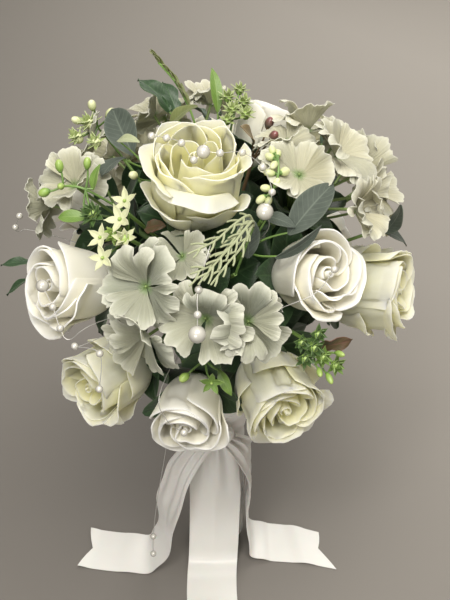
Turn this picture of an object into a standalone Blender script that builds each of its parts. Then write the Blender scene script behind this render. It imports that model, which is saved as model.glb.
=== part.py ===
"""A round bridal bouquet: roses and hydrangea on wired stems, bound in satin, standing on its cut stem ends.

Metres, +Z up, with the origin under the middle of the handle. The flowers sit on a ball whose centre is
BALL_CENTRE, and each one is placed by the azimuth and elevation of its axis: azimuth 0 is the front (-Y)
and grows towards +X, and elevation is above the horizon, both in degrees. A piece that lies on the egg
shaped surface of the flowers is placed by its azimuth, its elevation and its lift above that surface.
"""

import math

import bmesh
import bpy
from mathutils import Matrix, Vector

# The flowers' ball, and half the width and half the height of the head of flowers about its centre
BALL_CENTRE = Vector((0.0, 0.0, 0.245))
HEAD_ACROSS = 0.122
HEAD_UP = 0.106

# Stem bundle: the ball's centre lies in its neck. The profile gives shares of the radius, and heights.
BUNDLE_RADIUS = 0.0195
FLUTES = 10
FLUTE_DEPTH = 0.0014
BUNDLE_PROFILE = (
    (1.00, 0.000),
    (1.00, 0.152),
    (1.50, 0.200),
    (1.72, 0.232),
    (1.55, 0.262),
    (0.70, 0.280),
)
SUNK_REACH = 0.018
FLOWER_STEM_RADIUS = 0.0021
STEM_SIDES = 4
CALYX_RADIUS = 0.0066
CALYX_DEPTH = 0.006
SEAT_GAP = 0.0003
HOLE_DEPTH = 0.007
HOLE_CLEARANCE = 0.0004
HOLE_RISE = 0.004

# Satin wrap and ribbons
ROUND_SIDES = 2 * FLUTES
WRAP_LOW = 0.009
WRAP_HIGH = 0.150
WRAP_THICKNESS = 0.0011
BAND_LOW = 0.126
BAND_HIGH = 0.148
RIBBON_WIDTH = 0.038
RIBBON_THICKNESS = 0.0010
KNOT = Vector((0.002, -0.0277, 0.137))
KNOT_RADIUS = 0.0075
TAIL_NOTCH = 0.010

# Ribbon tails, from the knot to the cut end: place, direction of the width in degrees from +X, share of the
# full width, and how far the two edges are set back
TAIL_LEFT = (
    ((-0.004, -0.0285, 0.1340), 150, 0.35, 0.000),
    ((-0.017, -0.0300, 0.1180), 128, 0.60, 0.002),
    ((-0.028, -0.0285, 0.0900), 117, 0.85, 0.003),
    ((-0.036, -0.0260, 0.0550), 112, 1.00, 0.002),
    ((-0.042, -0.0245, 0.0220), 103, 1.00, 0.001),
    ((-0.050, -0.0235, 0.0060), 95, 1.00, 0.000),
    ((-0.062, -0.0220, 0.0006), 88, 1.00, 0.000),
    ((-0.085, -0.0190, 0.0006), 84, 1.00, 0.000),
    ((-0.106, -0.0150, 0.0006), 80, 1.00, 0.000),
)
TAIL_RIGHT = (
    ((0.0080, -0.0280, 0.1340), 30, 0.35, 0.000),
    ((0.0190, -0.0225, 0.1180), 60, 0.60, 0.001),
    ((0.0238, -0.0140, 0.0950), 86, 0.90, 0.000),
    ((0.0238, -0.0110, 0.0500), 90, 1.00, 0.000),
    ((0.0245, -0.0105, 0.0160), 90, 1.00, 0.000),
    ((0.0300, -0.0110, 0.0040), 90, 1.00, 0.000),
    ((0.0440, -0.0120, 0.0006), 92, 1.00, 0.000),
    ((0.0660, -0.0150, 0.0006), 100, 1.00, 0.000),
    ((0.0880, -0.0210, 0.0006), 106, 1.00, 0.000),
)
TAIL_FRONT = (
    ((-0.001, -0.0230, 0.1285), 0, 0.45, 0.000),
    ((-0.001, -0.0238, 0.1200), 0, 0.60, 0.002),
    ((-0.001, -0.0250, 0.1060), 0, 0.85, 0.004),
    ((-0.001, -0.0255, 0.0700), 0, 1.00, 0.004),
    ((-0.002, -0.0270, 0.0300), 0, 1.00, 0.003),
    ((-0.003, -0.0320, 0.0085), 0, 1.00, 0.001),
    ((-0.004, -0.0430, 0.0006), 0, 1.00, 0.000),
    ((-0.004, -0.0640, 0.0006), 0, 1.00, 0.000),
    ((-0.002, -0.0860, 0.0006), 4, 1.00, 0.000),
    ((0.001, -0.1060, 0.0006), 10, 1.00, 0.000),
)

# Roses: name, kind, azimuth, elevation, reach of the eye from the ball's centre, radius, how far the axis
# leans to the right and up in degrees, and its twist
ROSES = (
    ("rose_crown", "silk", -9, 66, 0.136, 0.0290, 6, 10, 12),
    ("rose_left", "foam", -57, 21, 0.124, 0.0316, 4, 2, 40),
    ("rose_low_left", "silk", -38, -3, 0.122, 0.0268, -6, 6, 70),
    ("rose_low_centre", "foam", -8, -8, 0.122, 0.0264, 0, 0, 15),
    ("rose_low_right", "silk", 20, -5, 0.121, 0.0278, 0, 0, 50),
    ("rose_right", "foam", 38, 32, 0.122, 0.0295, 0, 0, 25),
    ("rose_far_right", "silk", 67, 13, 0.126, 0.0300, 0, 0, 5),
    ("rose_crown_back", "foam", 146, 57, 0.120, 0.0270, 0, 0, 33),
    ("rose_back_right", "silk", 101, -6, 0.118, 0.0285, 0, 0, 20),
    ("rose_back_low_1", "foam", 134, -7, 0.119, 0.0285, 0, 0, 60),
    ("rose_back_low_2", "silk", 166, -5, 0.120, 0.0285, 0, 0, 10),
    ("rose_back_low_3", "foam", -162, -7, 0.119, 0.0285, 0, 0, 45),
    ("rose_back_low_4", "silk", -130, -8, 0.118, 0.0280, 0, 0, 28),
    ("rose_back_left", "foam", -97, -8, 0.109, 0.0260, 0, 0, 66),
    ("rose_back_middle", "silk", -178, 27, 0.120, 0.0268, 0, 0, 18),
    ("rose_back_upper_left", "foam", -117, 21, 0.118, 0.0270, 0, 0, 52),
)

# The small core that a rose's petals grow from: share of the radius and of the height of each ring, with
# a belt between two rings for each layer of petals
ROSE_SIDES = 10
ROSE_CORE = ((0.17, 0.00), (0.20, 0.06), (0.19, 0.12), (0.15, 0.18))
ROSE_CORE_TIP = 0.62
ROSE_HEIGHT = {"silk": 1.68, "foam": 1.48}
PETAL_THICKNESS = 0.0011

# Layers of rose petals, outer first: belt, the sides of the core that carry a petal, swirl, and the rows
# of each petal above its root. A row has its share of the radius and of the height, its half width in
# degrees, and how far each of its points stands out along the petal, as a share of the radius.
OUTER_EDGE = (-0.12, 0.02, 0.02, -0.12)
INNER_EDGE = (-0.10, 0.02, -0.10)
HEART_EDGE = (-0.06, 0.0, 0.0, -0.06)
ROSE_LAYERS = {
    "silk": (
        (0, (0, 2, 4, 6, 8), 0.10, ((0.79, 0.42, 40, (0, 0, 0)), (0.98, 0.89, 42, OUTER_EDGE))),
        (1, (1, 3, 5, 7, 9), 0.14, ((0.46, 0.45, 39, (0, 0, 0)), (0.55, 0.97, 42, INNER_EDGE))),
        (2, (0, 3, 7), 0.20, ((0.22, 1.00, 66, HEART_EDGE),)),
    ),
    "foam": (
        (0, (0, 2, 4, 6, 8), 0.10, ((0.73, 0.36, 41, (0, 0, 0)), (1.00, 0.76, 44, OUTER_EDGE))),
        (1, (1, 3, 6, 8), 0.14, ((0.43, 0.44, 48, (0, 0, 0)), (0.50, 0.95, 51, INNER_EDGE))),
        (2, (0, 3, 7), 0.20, ((0.20, 1.00, 66, HEART_EDGE),)),
    ),
}

# Hydrangea heads: name, azimuth, elevation and reach, then a line for each floret with its offset (right,
# up, out), its radius, its lean to the right and up in degrees, and its twist
HYDRANGEAS = (
    ("hydrangea_front", -9, 27, 0.112, (
        (-0.020, 0.014, 0.010, 0.0245, -18, 10, 10),
        (0.013, 0.001, 0.014, 0.0250, -4, -4, 40),
        (0.034, 0.000, 0.008, 0.0235, 26, -2, 65),
        (-0.020, -0.014, 0.002, 0.0240, -22, -34, 25),
        (-0.004, 0.030, -0.002, 0.0170, -4, 34, 80),
    )),
    ("hydrangea_upper_right", 72, 55, 0.116, (
        (0.000, 0.000, 0.012, 0.0245, 0, 0, 15),
        (-0.026, 0.012, 0.002, 0.0215, -30, 16, 50),
        (0.020, 0.020, 0.002, 0.0230, 26, 26, 75),
        (0.020, -0.020, 0.002, 0.0230, 26, -28, 30),
        (-0.016, -0.026, 0.002, 0.0215, -14, -34, 60),
    )),
    ("hydrangea_upper_left", -88, 42, 0.112, (
        (-0.016, 0.015, 0.004, 0.0225, -22, 24, 5),
        (0.018, 0.009, 0.006, 0.0225, 24, 14, 45),
        (0.000, -0.020, 0.004, 0.0230, 0, -30, 70),
    )),
    ("hydrangea_crown_back", -158, 58, 0.110, (
        (-0.019, 0.010, 0.004, 0.0200, -24, 14, 35),
        (0.019, 0.009, 0.004, 0.0185, 24, 12, 5),
        (0.004, -0.019, 0.004, 0.0205, 2, -30, 60),
    )),
    ("hydrangea_back_right", 113, 24, 0.112, (
        (-0.016, 0.012, 0.004, 0.0215, -22, 18, 20),
        (0.018, 0.008, 0.004, 0.0205, 26, 12, 55),
        (0.000, -0.018, 0.004, 0.0215, 0, -28, 80),
    )),
    ("hydrangea_back_middle", 150, 25, 0.112, (
        (-0.014, 0.014, 0.004, 0.0205, -20, 20, 10),
        (0.017, 0.006, 0.005, 0.0205, 24, 8, 50),
        (-0.004, -0.019, 0.004, 0.0215, -4, -30, 75),
    )),
    ("hydrangea_back_left", -147, 22, 0.112, (
        (-0.012, 0.010, 0.004, 0.0185, -22, 14, 30),
        (0.016, 0.012, 0.004, 0.0215, 22, 18, 60),
        (0.002, -0.019, 0.004, 0.0215, 2, -30, 5),
    )),
)
FLORET_SIDES = 4
FLORET_CORE = ((0.06, -0.30), (0.09, -0.07), (0.10, 0.02))
FLORET_EYE = 0.10
FLORET_LAYERS = (
    (1, (0, 1, 2, 3), 0.0, ((0.96, 0.28, 40, (-0.16, 0.05, -0.03, -0.10)),)),
)
FLORET_THICKNESS = 0.0009
PEDICEL_RADIUS = 0.0013
HEAD_DEPTH = 0.034
HEAD_FOOT_RADIUS = 0.004

# Leaf outlines: share of the length, and half width as a share of the full half width
LEAF_OUTLINES = {
    "oval": ((0.0, 0.16), (0.28, 0.88), (0.64, 0.94), (1.0, 0.12)),
    "long": ((0.0, 0.25), (0.35, 1.00), (0.70, 0.80), (1.0, 0.15)),
    "waved": ((0.0, 0.14), (0.22, 0.85), (0.42, 0.72), (0.66, 0.92), (1.0, 0.14)),
}
LEAF_THICKNESS = 0.0008
LEAF_ARCH = 0.10
LEAF_FOLD = 0.22
SPRAY_STEM_RADIUS = 0.0012
TWIG_RADIUS = 0.0007
TWIG_SIDES = 3
FORK_LIFT = -0.012
STAR_PETALS = 5
STAR_CORE = ((0.10, -0.25), (0.18, -0.10), (0.18, 0.06))
STAR_EYE = 0.25
STAR_LAYERS = ((1, (0, 1, 2, 3, 4), 0.0, ((1.0, 0.32, 6, (0, 0)),)),)
STAR_THICKNESS = 0.0008
LEAFLET_RADIUS = 0.0008
LEAFLET_SPREAD = 42
LEAFLET_TIP_SHARE = 0.45
LEAFLET_SUNK = 0.0007

# Sprays: name, finish, azimuth and elevation of the stem, and what it carries. A spot is an azimuth, an
# elevation and a lift. A twig runs through spots; a leaf has base, tip, width, outline and roll in degrees;
# a bud has its spot, radius and half length; a star has its spot and radius; a frond runs through spots
# with pairs of leaflets of a length.
SPRAYS = (
    ("sage_right", "sage", 13, 45, (
        ("leaf", (28, 45, 0.007), (49, 51, 0.024), 0.0170, "oval", -20),
        ("leaf", (23, 52, 0.005), (30, 46, 0.012), 0.0075, "long", 10),
        ("leaf", (20, 40, 0.008), (38, 44, 0.016), 0.0070, "long", 40),
        ("leaf", (13, 42, -0.006), (15, 54, 0.002), 0.0130, "oval", 0),
    )),
    ("cream_buds", "pale_green", 27, 54, (
        ("twig", ((28, 57, 0.015), (33, 60, 0.018), (36, 63, 0.021))),
        ("bud", (40, 65, 0.020), 0.0022, 0.0032),
        ("bud", (34, 65, 0.020), 0.0022, 0.0030),
        ("bud", (29, 61, 0.018), 0.0020, 0.0034),
        ("bud", (37, 60, 0.018), 0.0024, 0.0032),
        ("bud", (22, 56, 0.010), 0.0022, 0.0032),
    )),
    ("fern", "pale_green", 8, 38, (
        ("twig", ((15, 49, 0.010),)),
        ("frond", ((7, 45, 0.017), (-2, 39, 0.024), (-9, 33, 0.031)), 5, 0.012),
    )),
    ("star_flowers", "star", -42, 44, (
        ("star", (-36, 47, 0.013), 0.0088),
        ("star", (-40, 52, 0.011), 0.0080),
        ("star", (-40, 41, 0.012), 0.0078),
        ("star", (-33, 37, 0.019), 0.0078),
    )),
    ("berry_left", "bright_green", -52, 51, (
        ("twig", ((-58, 49, 0.016), (-64, 46, 0.022))),
        ("bud", (-50, 45, 0.010), 0.0048, 0.0052),
        ("bud", (-67, 49, 0.030), 0.0023, 0.0036),
        ("bud", (-66, 42, 0.026), 0.0026, 0.0034),
        ("bud", (-60, 54, 0.026), 0.0022, 0.0034),
        ("leaf", (-56, 50, 0.014), (-60, 56, 0.020), 0.0060, "long", 0),
        ("leaf", (-55, 43, 0.006), (-61, 39, 0.014), 0.0080, "oval", 0),
    )),
    ("leaf_under_crown", "red_green", -30, 48, (
        ("leaf", (-31, 48, -0.002), (-21, 50, 0.003), 0.0080, "waved", 0),
    )),
    ("sage_upper_left", "sage", -80, 68, (
        ("leaf", (-84, 64, 0.000), (-112, 60, 0.022), 0.0190, "oval", 0),
        ("leaf", (-76, 62, 0.004), (-66, 54, 0.008), 0.0140, "oval", 0),
    )),
    ("pale_leaf_upper_left", "pale_green", -60, 66, (
        ("leaf", (-74, 63, 0.017), (-56, 67, 0.019), 0.0065, "long", 0),
        ("bud", (-50, 60, 0.008), 0.0024, 0.0034),
    )),
    ("pale_berries", "pale_green", -124, 46, (
        ("twig", ((-120, 48, 0.006), (-116, 50, 0.014))),
        ("bud", (-114, 54, 0.028), 0.0026, 0.0036),
        ("bud", (-110, 49, 0.025), 0.0024, 0.0036),
        ("bud", (-118, 56, 0.018), 0.0032, 0.0042),
        ("bud", (-110, 45, 0.016), 0.0026, 0.0034),
    )),
    ("curled_leaf_top", "dark_green", -140, 74, (
        ("leaf", (-130, 73, 0.011), (-127, 66, 0.032), 0.0150, "waved", 0),
        ("leaf", (-136, 74, 0.008), (-142, 68, 0.026), 0.0110, "waved", 0),
    )),
    ("olive_twigs", "olive", -164, 72, (
        ("twig", ((-158, 70, 0.008),)),
        ("frond", ((-152, 68, 0.024), (-144, 67, 0.038)), 3, 0.012),
    )),
    ("olive_leaf_top", "olive", -116, 77, (
        ("leaf", (-108, 76, 0.006), (-150, 81, 0.014), 0.0150, "oval", 0),
    )),
    ("long_leaf_top", "bright_green", 176, 77, (
        ("leaf", (175, 75, 0.006), (-179, 70, 0.031), 0.0075, "long", 0),
    )),
    ("green_clusters_top", "bright_green", 150, 80, (
        ("twig", ((152, 77, 0.004), (158, 73, 0.010))),
        ("bud", (164, 75, 0.015), 0.0034, 0.0040),
        ("bud", (150, 72, 0.012), 0.0034, 0.0040),
        ("bud", (159, 69, 0.018), 0.0030, 0.0038),
    )),
    ("burgundy_berries", "burgundy", 84, 76, (
        ("bud", (94, 74, 0.012), 0.0026, 0.0036),
        ("bud", (69, 72, 0.012), 0.0026, 0.0036),
        ("leaf", (70, 77, 0.002), (56, 81, 0.013), 0.0130, "oval", 0),
    )),
    ("green_leaves_behind", "dark_green", 114, 48, (
        ("leaf", (112, 49, 0.002), (108, 55, 0.020), 0.0110, "waved", 0),
        ("leaf", (118, 47, 0.002), (126, 43, 0.018), 0.0120, "waved", 0),
    )),
    ("green_low_right", "bright_green", 31, 12, (
        ("leaf", (31, 13, -0.006), (38, 14, 0.006), 0.0090, "waved", 0),
        ("bud", (27, 15, 0.002), 0.0026, 0.0034),
        ("bud", (32, 9, 0.005), 0.0026, 0.0032),
        ("bud", (24, 13, 0.002), 0.0026, 0.0032),
    )),
    ("green_low_centre", "bright_green", -3, 13, (
        ("star", (-1, 11, 0.006), 0.0070),
        ("bud", (-8, 11, 0.002), 0.0024, 0.0034),
        ("leaf", (1, 12, -0.004), (4, 6, 0.002), 0.0060, "long", 0),
    )),
    ("leaves_far_left", "dark_green", -84, 12, (
        ("leaf", (-84, 12, -0.010), (-84, 11, 0.016), 0.0090, "waved", 0),
        ("leaf", (-84, 8, -0.010), (-83, 2, 0.012), 0.0090, "waved", 0),
    )),
    ("leaves_right", "sage", 96, 18, (
        ("leaf", (95, 17, -0.006), (92, 26, 0.012), 0.0130, "oval", 0),
        ("leaf", (97, 16, -0.006), (98, 8, 0.008), 0.0130, "oval", 0),
    )),
    ("leaves_back_right", "sage", 136, 12, (
        ("leaf", (136, 12, -0.004), (136, 17, 0.014), 0.0100, "oval", 0),
    )),
    ("leaves_back", "dark_green", 180, 48, (
        ("leaf", (178, 48, -0.002), (168, 46, 0.014), 0.0130, "waved", 0),
        ("leaf", (-178, 47, -0.002), (-170, 42, 0.012), 0.0120, "waved", 0),
    )),
)

# Pearls: name, azimuth and elevation of the wire's root, the lift where the wire first bends, the spots that
# it runs through from there, and each pearl's place along them with its radius
LARGE_PEARL = 0.0046
MIDDLE_PEARL = 0.0037
SMALL_PEARL = 0.0021
WIRE_RADIUS = 0.0005
WIRE_SIDES = 3
PEARLS = (
    ("pearls_crown", 22, 48, 0.000, (
        (19, 51, 0.018), (26, 56, 0.016), (25, 62, 0.022), (15, 65, 0.029), (3, 64, 0.033), (-5, 64, 0.034),
        (-9, 62, 0.033), (-17, 66, 0.034), (-27, 67, 0.033), (-38, 67, 0.031),
    ), {0: LARGE_PEARL, 1: SMALL_PEARL, 2: SMALL_PEARL, 3: SMALL_PEARL, 4: SMALL_PEARL, 5: MIDDLE_PEARL,
        6: SMALL_PEARL, 7: SMALL_PEARL, 8: SMALL_PEARL, 9: SMALL_PEARL}),
    ("pearls_front", 0, 46, 0.019, (
        (-4, 34, 0.025), (-4, 29, 0.026), (-4, 25, 0.025),
    ), {0: SMALL_PEARL, 1: SMALL_PEARL, 2: LARGE_PEARL}),
    ("pearls_left", -36, 19, -0.004, (
        (-40, 14, 0.008), (-43, 16, 0.010), (-47, 20, 0.011), (-53, 23, 0.012),
    ), {1: SMALL_PEARL, 2: SMALL_PEARL, 3: MIDDLE_PEARL}),
    ("pearls_far_left", -96, 17, -0.004, (
        (-93, 17, 0.010), (-90, 20, 0.013), (-88, 25, 0.014),
    ), {1: SMALL_PEARL, 2: SMALL_PEARL}),
    ("pearls_low_left", -37, 13, 0.000, (
        (-38, 13, 0.008), (-30, 14, 0.008), (-29, 5, 0.010),
    ), {0: SMALL_PEARL, 1: SMALL_PEARL, 2: SMALL_PEARL}),
    ("pearls_low_centre", -14, 7, 0.000, (
        (-12, 0, 0.008), (-8, -5, 0.006),
    ), {1: SMALL_PEARL}),
    ("pearls_right", 18, 27, 0.002, (
        (19, 28, 0.008), (27, 30, 0.017), (37, 33, 0.011),
    ), {2: SMALL_PEARL}),
    ("pearls_hanging", -27, -24, -0.055, (
        (-27, -30, -0.050), (-29, -52, -0.002), (-30, -58, 0.042), (-30, -61, 0.072), (-30, -63, 0.088),
    ), {3: SMALL_PEARL, 4: SMALL_PEARL}),
)


def clear_scene():
    """Remove whatever the file opened with."""
    for obj in list(bpy.data.objects):
        bpy.data.objects.remove(obj, do_unlink=True)


def material(name, colour, roughness, metallic=0.0):
    """A plain Principled material."""
    made = bpy.data.materials.new(name)
    made.use_nodes = True
    shader = made.node_tree.nodes["Principled BSDF"]
    shader.inputs["Base Color"].default_value = (*colour, 1.0)
    shader.inputs["Roughness"].default_value = roughness
    shader.inputs["Metallic"].default_value = metallic
    return made


# Places on the ball


def direction(azimuth, elevation):
    """Unit vector out of the ball."""
    azimuth, elevation = math.radians(azimuth), math.radians(elevation)
    level = math.cos(elevation)
    return Vector((math.sin(azimuth) * level, -math.cos(azimuth) * level, math.sin(elevation)))


def spot(azimuth, elevation, lift=0.0):
    """A point above the egg shaped surface of the head, or below it."""
    elevation_turn = math.radians(elevation)
    level, rise = math.cos(elevation_turn) / HEAD_ACROSS, math.sin(elevation_turn) / HEAD_UP
    return BALL_CENTRE + direction(azimuth, elevation) * (1 / math.hypot(level, rise) + lift)


def placed(azimuth, elevation, reach, twist=0.0):
    """Matrix of a frame on the ball: Z out, X to the viewer's right, Y up, then turned about Z."""
    out = direction(azimuth, elevation)
    right = Vector((math.cos(math.radians(azimuth)), math.sin(math.radians(azimuth)), 0.0))
    frame = Matrix((right, out.cross(right), out)).transposed().to_4x4()
    spin = Matrix.Rotation(math.radians(twist), 4, "Z")
    return Matrix.Translation(BALL_CENTRE + out * reach) @ frame @ spin


def leaning(lean_right, lean_up):
    """Rotation that leans a bloom's axis to the right and up."""
    return Matrix.Rotation(math.radians(lean_right), 4, "Y") @ Matrix.Rotation(math.radians(-lean_up), 4, "X")


def rose_frame(kind, azimuth, elevation, reach, radius, lean_right, lean_up, twist):
    """Matrix of a rose's frame, whose origin is its foot: it leans about its eye."""
    spin = Matrix.Rotation(math.radians(twist), 4, "Z")
    down = Matrix.Translation((0, 0, -ROSE_HEIGHT[kind] * radius))
    return placed(azimuth, elevation, reach) @ leaning(lean_right, lean_up) @ spin @ down


def neck_reach(elevation):
    """Distance from the ball's centre to the skin of the stem bundle."""
    out, up = math.cos(math.radians(elevation)), math.sin(math.radians(elevation))
    profile = [(BUNDLE_RADIUS * share, z) for share, z in BUNDLE_PROFILE] + [(0.0, BUNDLE_PROFILE[-1][1])]
    for (low_radius, low_z), (high_radius, high_z) in zip(profile, profile[1:]):
        wide, high, below = high_radius - low_radius, high_z - low_z, low_z - BALL_CENTRE.z
        scale = up * wide - out * high
        share = (out * below - up * low_radius) / scale
        reach = (wide * below - low_radius * high) / scale
        if -1e-6 <= share <= 1 + 1e-6 and reach > 0:
            return reach
    raise ValueError("no skin in this direction")


# Shapes, as lists of points and of faces


def strip(low, high):
    """Triangles between two rows of points, which may differ in number."""
    faces, i, j = [], 0, 0
    while i < len(low) - 1 or j < len(high) - 1:
        low_next, high_next = (i + 1) / (len(low) - 1), (j + 1) / (len(high) - 1)
        if low_next <= high_next:
            faces.append((low[i], low[i + 1], high[j]))
            i += 1
        else:
            faces.append((low[i], high[j + 1], high[j]))
            j += 1
    return faces


def petal_rows(radius, height, root, middle, swirl, rows, thickness):
    """Under and upper points of a petal's rows, worked out in the plane through the axis and each point."""
    line = [Vector(root)] + [Vector((radius * out, height * up)) for out, up, _, _ in rows]
    for k, (_, _, half_width, edge) in enumerate(rows, start=1):
        along = (line[min(k + 1, len(rows))] - line[k - 1]).normalized()
        outward = Vector((along.y, -along.x))
        under, upper = [], []
        for i, stand in enumerate(edge):
            across = 2 * i / (len(edge) - 1) - 1
            turn = math.radians(middle + across * half_width)
            place = line[k] + outward * (swirl * across * line[k].x) + along * (stand * radius)
            for side, points in ((1, under), (-1, upper)):
                reach, rise = place + outward * (side * thickness / 2)
                points.append(Vector((reach * math.cos(turn), reach * math.sin(turn), rise)))
        yield under, upper


def petalled(radius, height, sides, core, tip, layers, thickness):
    """A flower as one closed surface: a small core of rings, and thin petals drawn out of its faces."""
    points, faces = [], []
    for out, up in core:
        for k in range(sides):
            turn = 2 * math.pi * k / sides
            points.append(Vector((radius * out * math.cos(turn), radius * out * math.sin(turn), height * up)))
    points.append(Vector((0, 0, height * tip)))
    last = (len(core) - 1) * sides
    faces.append(tuple(range(sides)))
    faces += [(last + k, last + (k + 1) % sides, len(points) - 1) for k in range(sides)]
    opened = {(belt, column) for belt, columns, _, _ in layers for column in columns}
    for belt in range(len(core) - 1):
        for k in range(sides):
            a, b = belt * sides + k, belt * sides + (k + 1) % sides
            if (belt, k) not in opened:
                faces.append((a, b, b + sides, a + sides))
    for belt, columns, swirl, rows in layers:
        (low_out, low_up), (high_out, high_up) = core[belt], core[belt + 1]
        root = (radius * (low_out + high_out) / 2, height * (low_up + high_up) / 2)
        for place, column in enumerate(columns):
            middle = 360 * ((columns[0] + 0.5) / sides + place / len(columns))
            under = [belt * sides + column, belt * sides + (column + 1) % sides]
            upper = [k + sides for k in under]
            for under_points, upper_points in petal_rows(radius, height, root, middle, swirl, rows, thickness):
                next_under = list(range(len(points), len(points) + len(under_points)))
                next_upper = [k + len(under_points) for k in next_under]
                points += under_points + upper_points
                faces += strip(under, next_under) + strip(upper, next_upper)
                faces += [(under[k], next_under[k], next_upper[k], upper[k]) for k in (0, -1)]
                under, upper = next_under, next_upper
            faces += [(a, b, d, c) for a, b, c, d in zip(under, under[1:], upper, upper[1:])]
    return points, faces


def blade(grid, thickness):
    """A closed blade about a grid of points: both faces are split into the same triangles."""
    columns, rows = len(grid), len(grid[0])
    front, back = [], []
    for i in range(columns):
        for j in range(rows):
            across = grid[min(i + 1, columns - 1)][j] - grid[max(i - 1, 0)][j]
            along = grid[i][min(j + 1, rows - 1)] - grid[i][max(j - 1, 0)]
            normal = across.cross(along).normalized()
            front.append(grid[i][j] + normal * (thickness / 2))
            back.append(grid[i][j] - normal * (thickness / 2))
    half = columns * rows
    faces = []
    for i in range(columns - 1):
        for j in range(rows - 1):
            a, b = i * rows + j, (i + 1) * rows + j
            for face in ((a, b, b + 1), (a, b + 1, a + 1)):
                faces.append(face)
                faces.append(tuple(half + k for k in reversed(face)))
    rim = [i * rows for i in range(columns)]
    rim += [(columns - 1) * rows + j for j in range(1, rows)]
    rim += [i * rows + rows - 1 for i in range(columns - 2, -1, -1)]
    rim += [j for j in range(rows - 2, 0, -1)]
    for a, b in zip(rim, rim[1:] + rim[:1]):
        faces.append((b, a, half + a, half + b))
    return front + back, faces


def tube(points, radii, sides):
    """A closed tube through points, with a radius at each."""
    rings, faces = [], []
    ahead = (points[1] - points[0]).normalized()
    side = ahead.orthogonal().normalized()
    for k, point in enumerate(points):
        ahead = (points[min(k + 1, len(points) - 1)] - points[max(k - 1, 0)]).normalized()
        side = (side - ahead * side.dot(ahead)).normalized()
        other = ahead.cross(side)
        for s in range(sides):
            turn = 2 * math.pi * s / sides
            rings.append(point + (side * math.cos(turn) + other * math.sin(turn)) * radii[k])
    for k in range(len(points) - 1):
        for s in range(sides):
            a, b = k * sides + s, k * sides + (s + 1) % sides
            faces.append((a, b, b + sides, a + sides))
    faces.append(tuple(reversed(range(sides))))
    faces.append(tuple(range(len(rings) - sides, len(rings))))
    return rings, faces


def bead(centre, radius, length=None, axis=None, fine=1):
    """A small faceted ball, or an egg of this half length along an axis."""
    made = bmesh.new()
    bmesh.ops.create_icosphere(made, subdivisions=fine, radius=1.0)
    stretch = Matrix.Diagonal((radius, radius, length or radius, 1.0))
    turn = (axis or Vector((0, 0, 1))).to_track_quat("Z", "Y").to_matrix().to_4x4()
    made.transform(Matrix.Translation(centre) @ turn @ stretch)
    points = [v.co.copy() for v in made.verts]
    faces = [tuple(v.index for v in face.verts) for face in made.faces]
    made.free()
    return points, faces


def turned(profile, sides, flute=0.0):
    """A solid turned from radii and heights, every second side set in by the flute's depth."""
    rings = []
    for radius, z in profile:
        for k in range(sides):
            turn = 2 * math.pi * k / sides
            reach = radius - (flute if k % 2 else 0.0)
            rings.append(Vector((reach * math.cos(turn), reach * math.sin(turn), z)))
    faces = [tuple(reversed(range(sides))), tuple(range(len(rings) - sides, len(rings)))]
    for ring in range(len(profile) - 1):
        for k in range(sides):
            a, b = ring * sides + k, ring * sides + (k + 1) % sides
            faces.append((a, b, b + sides, a + sides))
    return rings, faces


def ring_wall(inner, thickness, low, high, sides):
    """An upright tube with an open bore."""
    corners = ((inner, low), (inner + thickness, low), (inner + thickness, high), (inner, high))
    points, faces = [], []
    for radius, z in corners:
        for k in range(sides):
            turn = 2 * math.pi * k / sides
            points.append(Vector((radius * math.cos(turn), radius * math.sin(turn), z)))
    for corner in range(4):
        for k in range(sides):
            a, b = corner * sides + k, corner * sides + (k + 1) % sides
            c, d = (corner + 1) % 4 * sides + k, (corner + 1) % 4 * sides + (k + 1) % sides
            faces.append((a, b, d, c))
    return points, faces


def moved(shape, matrix):
    """The same shape in another frame."""
    points, faces = shape
    return [matrix @ p for p in points], faces


# Objects


def mesh_object(name, shape, finish=None):
    """One object from points and faces, flat faces split into triangles."""
    mesh = bpy.data.meshes.new(name)
    mesh.from_pydata([tuple(p) for p in shape[0]], [], shape[1])
    made = bmesh.new()
    made.from_mesh(mesh)
    bmesh.ops.triangulate(made, faces=made.faces)
    bmesh.ops.recalc_face_normals(made, faces=made.faces)
    made.to_mesh(mesh)
    made.free()
    obj = bpy.data.objects.new(name, mesh)
    bpy.context.scene.collection.objects.link(obj)
    if finish:
        mesh.materials.append(finish)
    return obj


def boolean(obj, shapes, operation):
    """Join to an object, or cut from it, every shape of a list, and apply it."""
    group = bpy.data.collections.new("operands")
    bpy.context.scene.collection.children.link(group)
    for shape in shapes:
        other = mesh_object("operand", shape)
        bpy.context.scene.collection.objects.unlink(other)
        group.objects.link(other)
    step = obj.modifiers.new("Boolean", "BOOLEAN")
    step.operation = operation
    step.operand_type = "COLLECTION"
    step.collection = group
    graph = bpy.context.evaluated_depsgraph_get()
    result = bpy.data.meshes.new_from_object(obj.evaluated_get(graph))
    obj.modifiers.remove(step)
    obj.data = result
    for other in list(group.objects):
        bpy.data.objects.remove(other, do_unlink=True)
    bpy.data.collections.remove(group)


def smoothed(obj):
    """Shade an object smooth, apart from its sharp edges."""
    obj.data.shade_smooth()
    obj.data.set_sharp_from_angle(angle=math.radians(40))
    return obj


def fused(name, shapes, finish, matrix=None):
    """One closed body from overlapping shapes, placed by its matrix."""
    obj = mesh_object(name, shapes[0], finish)
    if len(shapes) > 1:
        boolean(obj, shapes[1:], "UNION")
    if matrix:
        obj.matrix_world = matrix
    return smoothed(obj)


# Stem bundle, satin wrap and ribbons


def flower_stem(foot, axis):
    """A bloom's stem out of the bundle, widening into the cup under the bloom."""
    end = foot - axis * SEAT_GAP
    neck = end - axis * CALYX_DEPTH
    root = BALL_CENTRE + (neck - BALL_CENTRE).normalized() * SUNK_REACH
    return tube([root, neck, end], (FLOWER_STEM_RADIUS, FLOWER_STEM_RADIUS, CALYX_RADIUS), STEM_SIDES)


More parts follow.
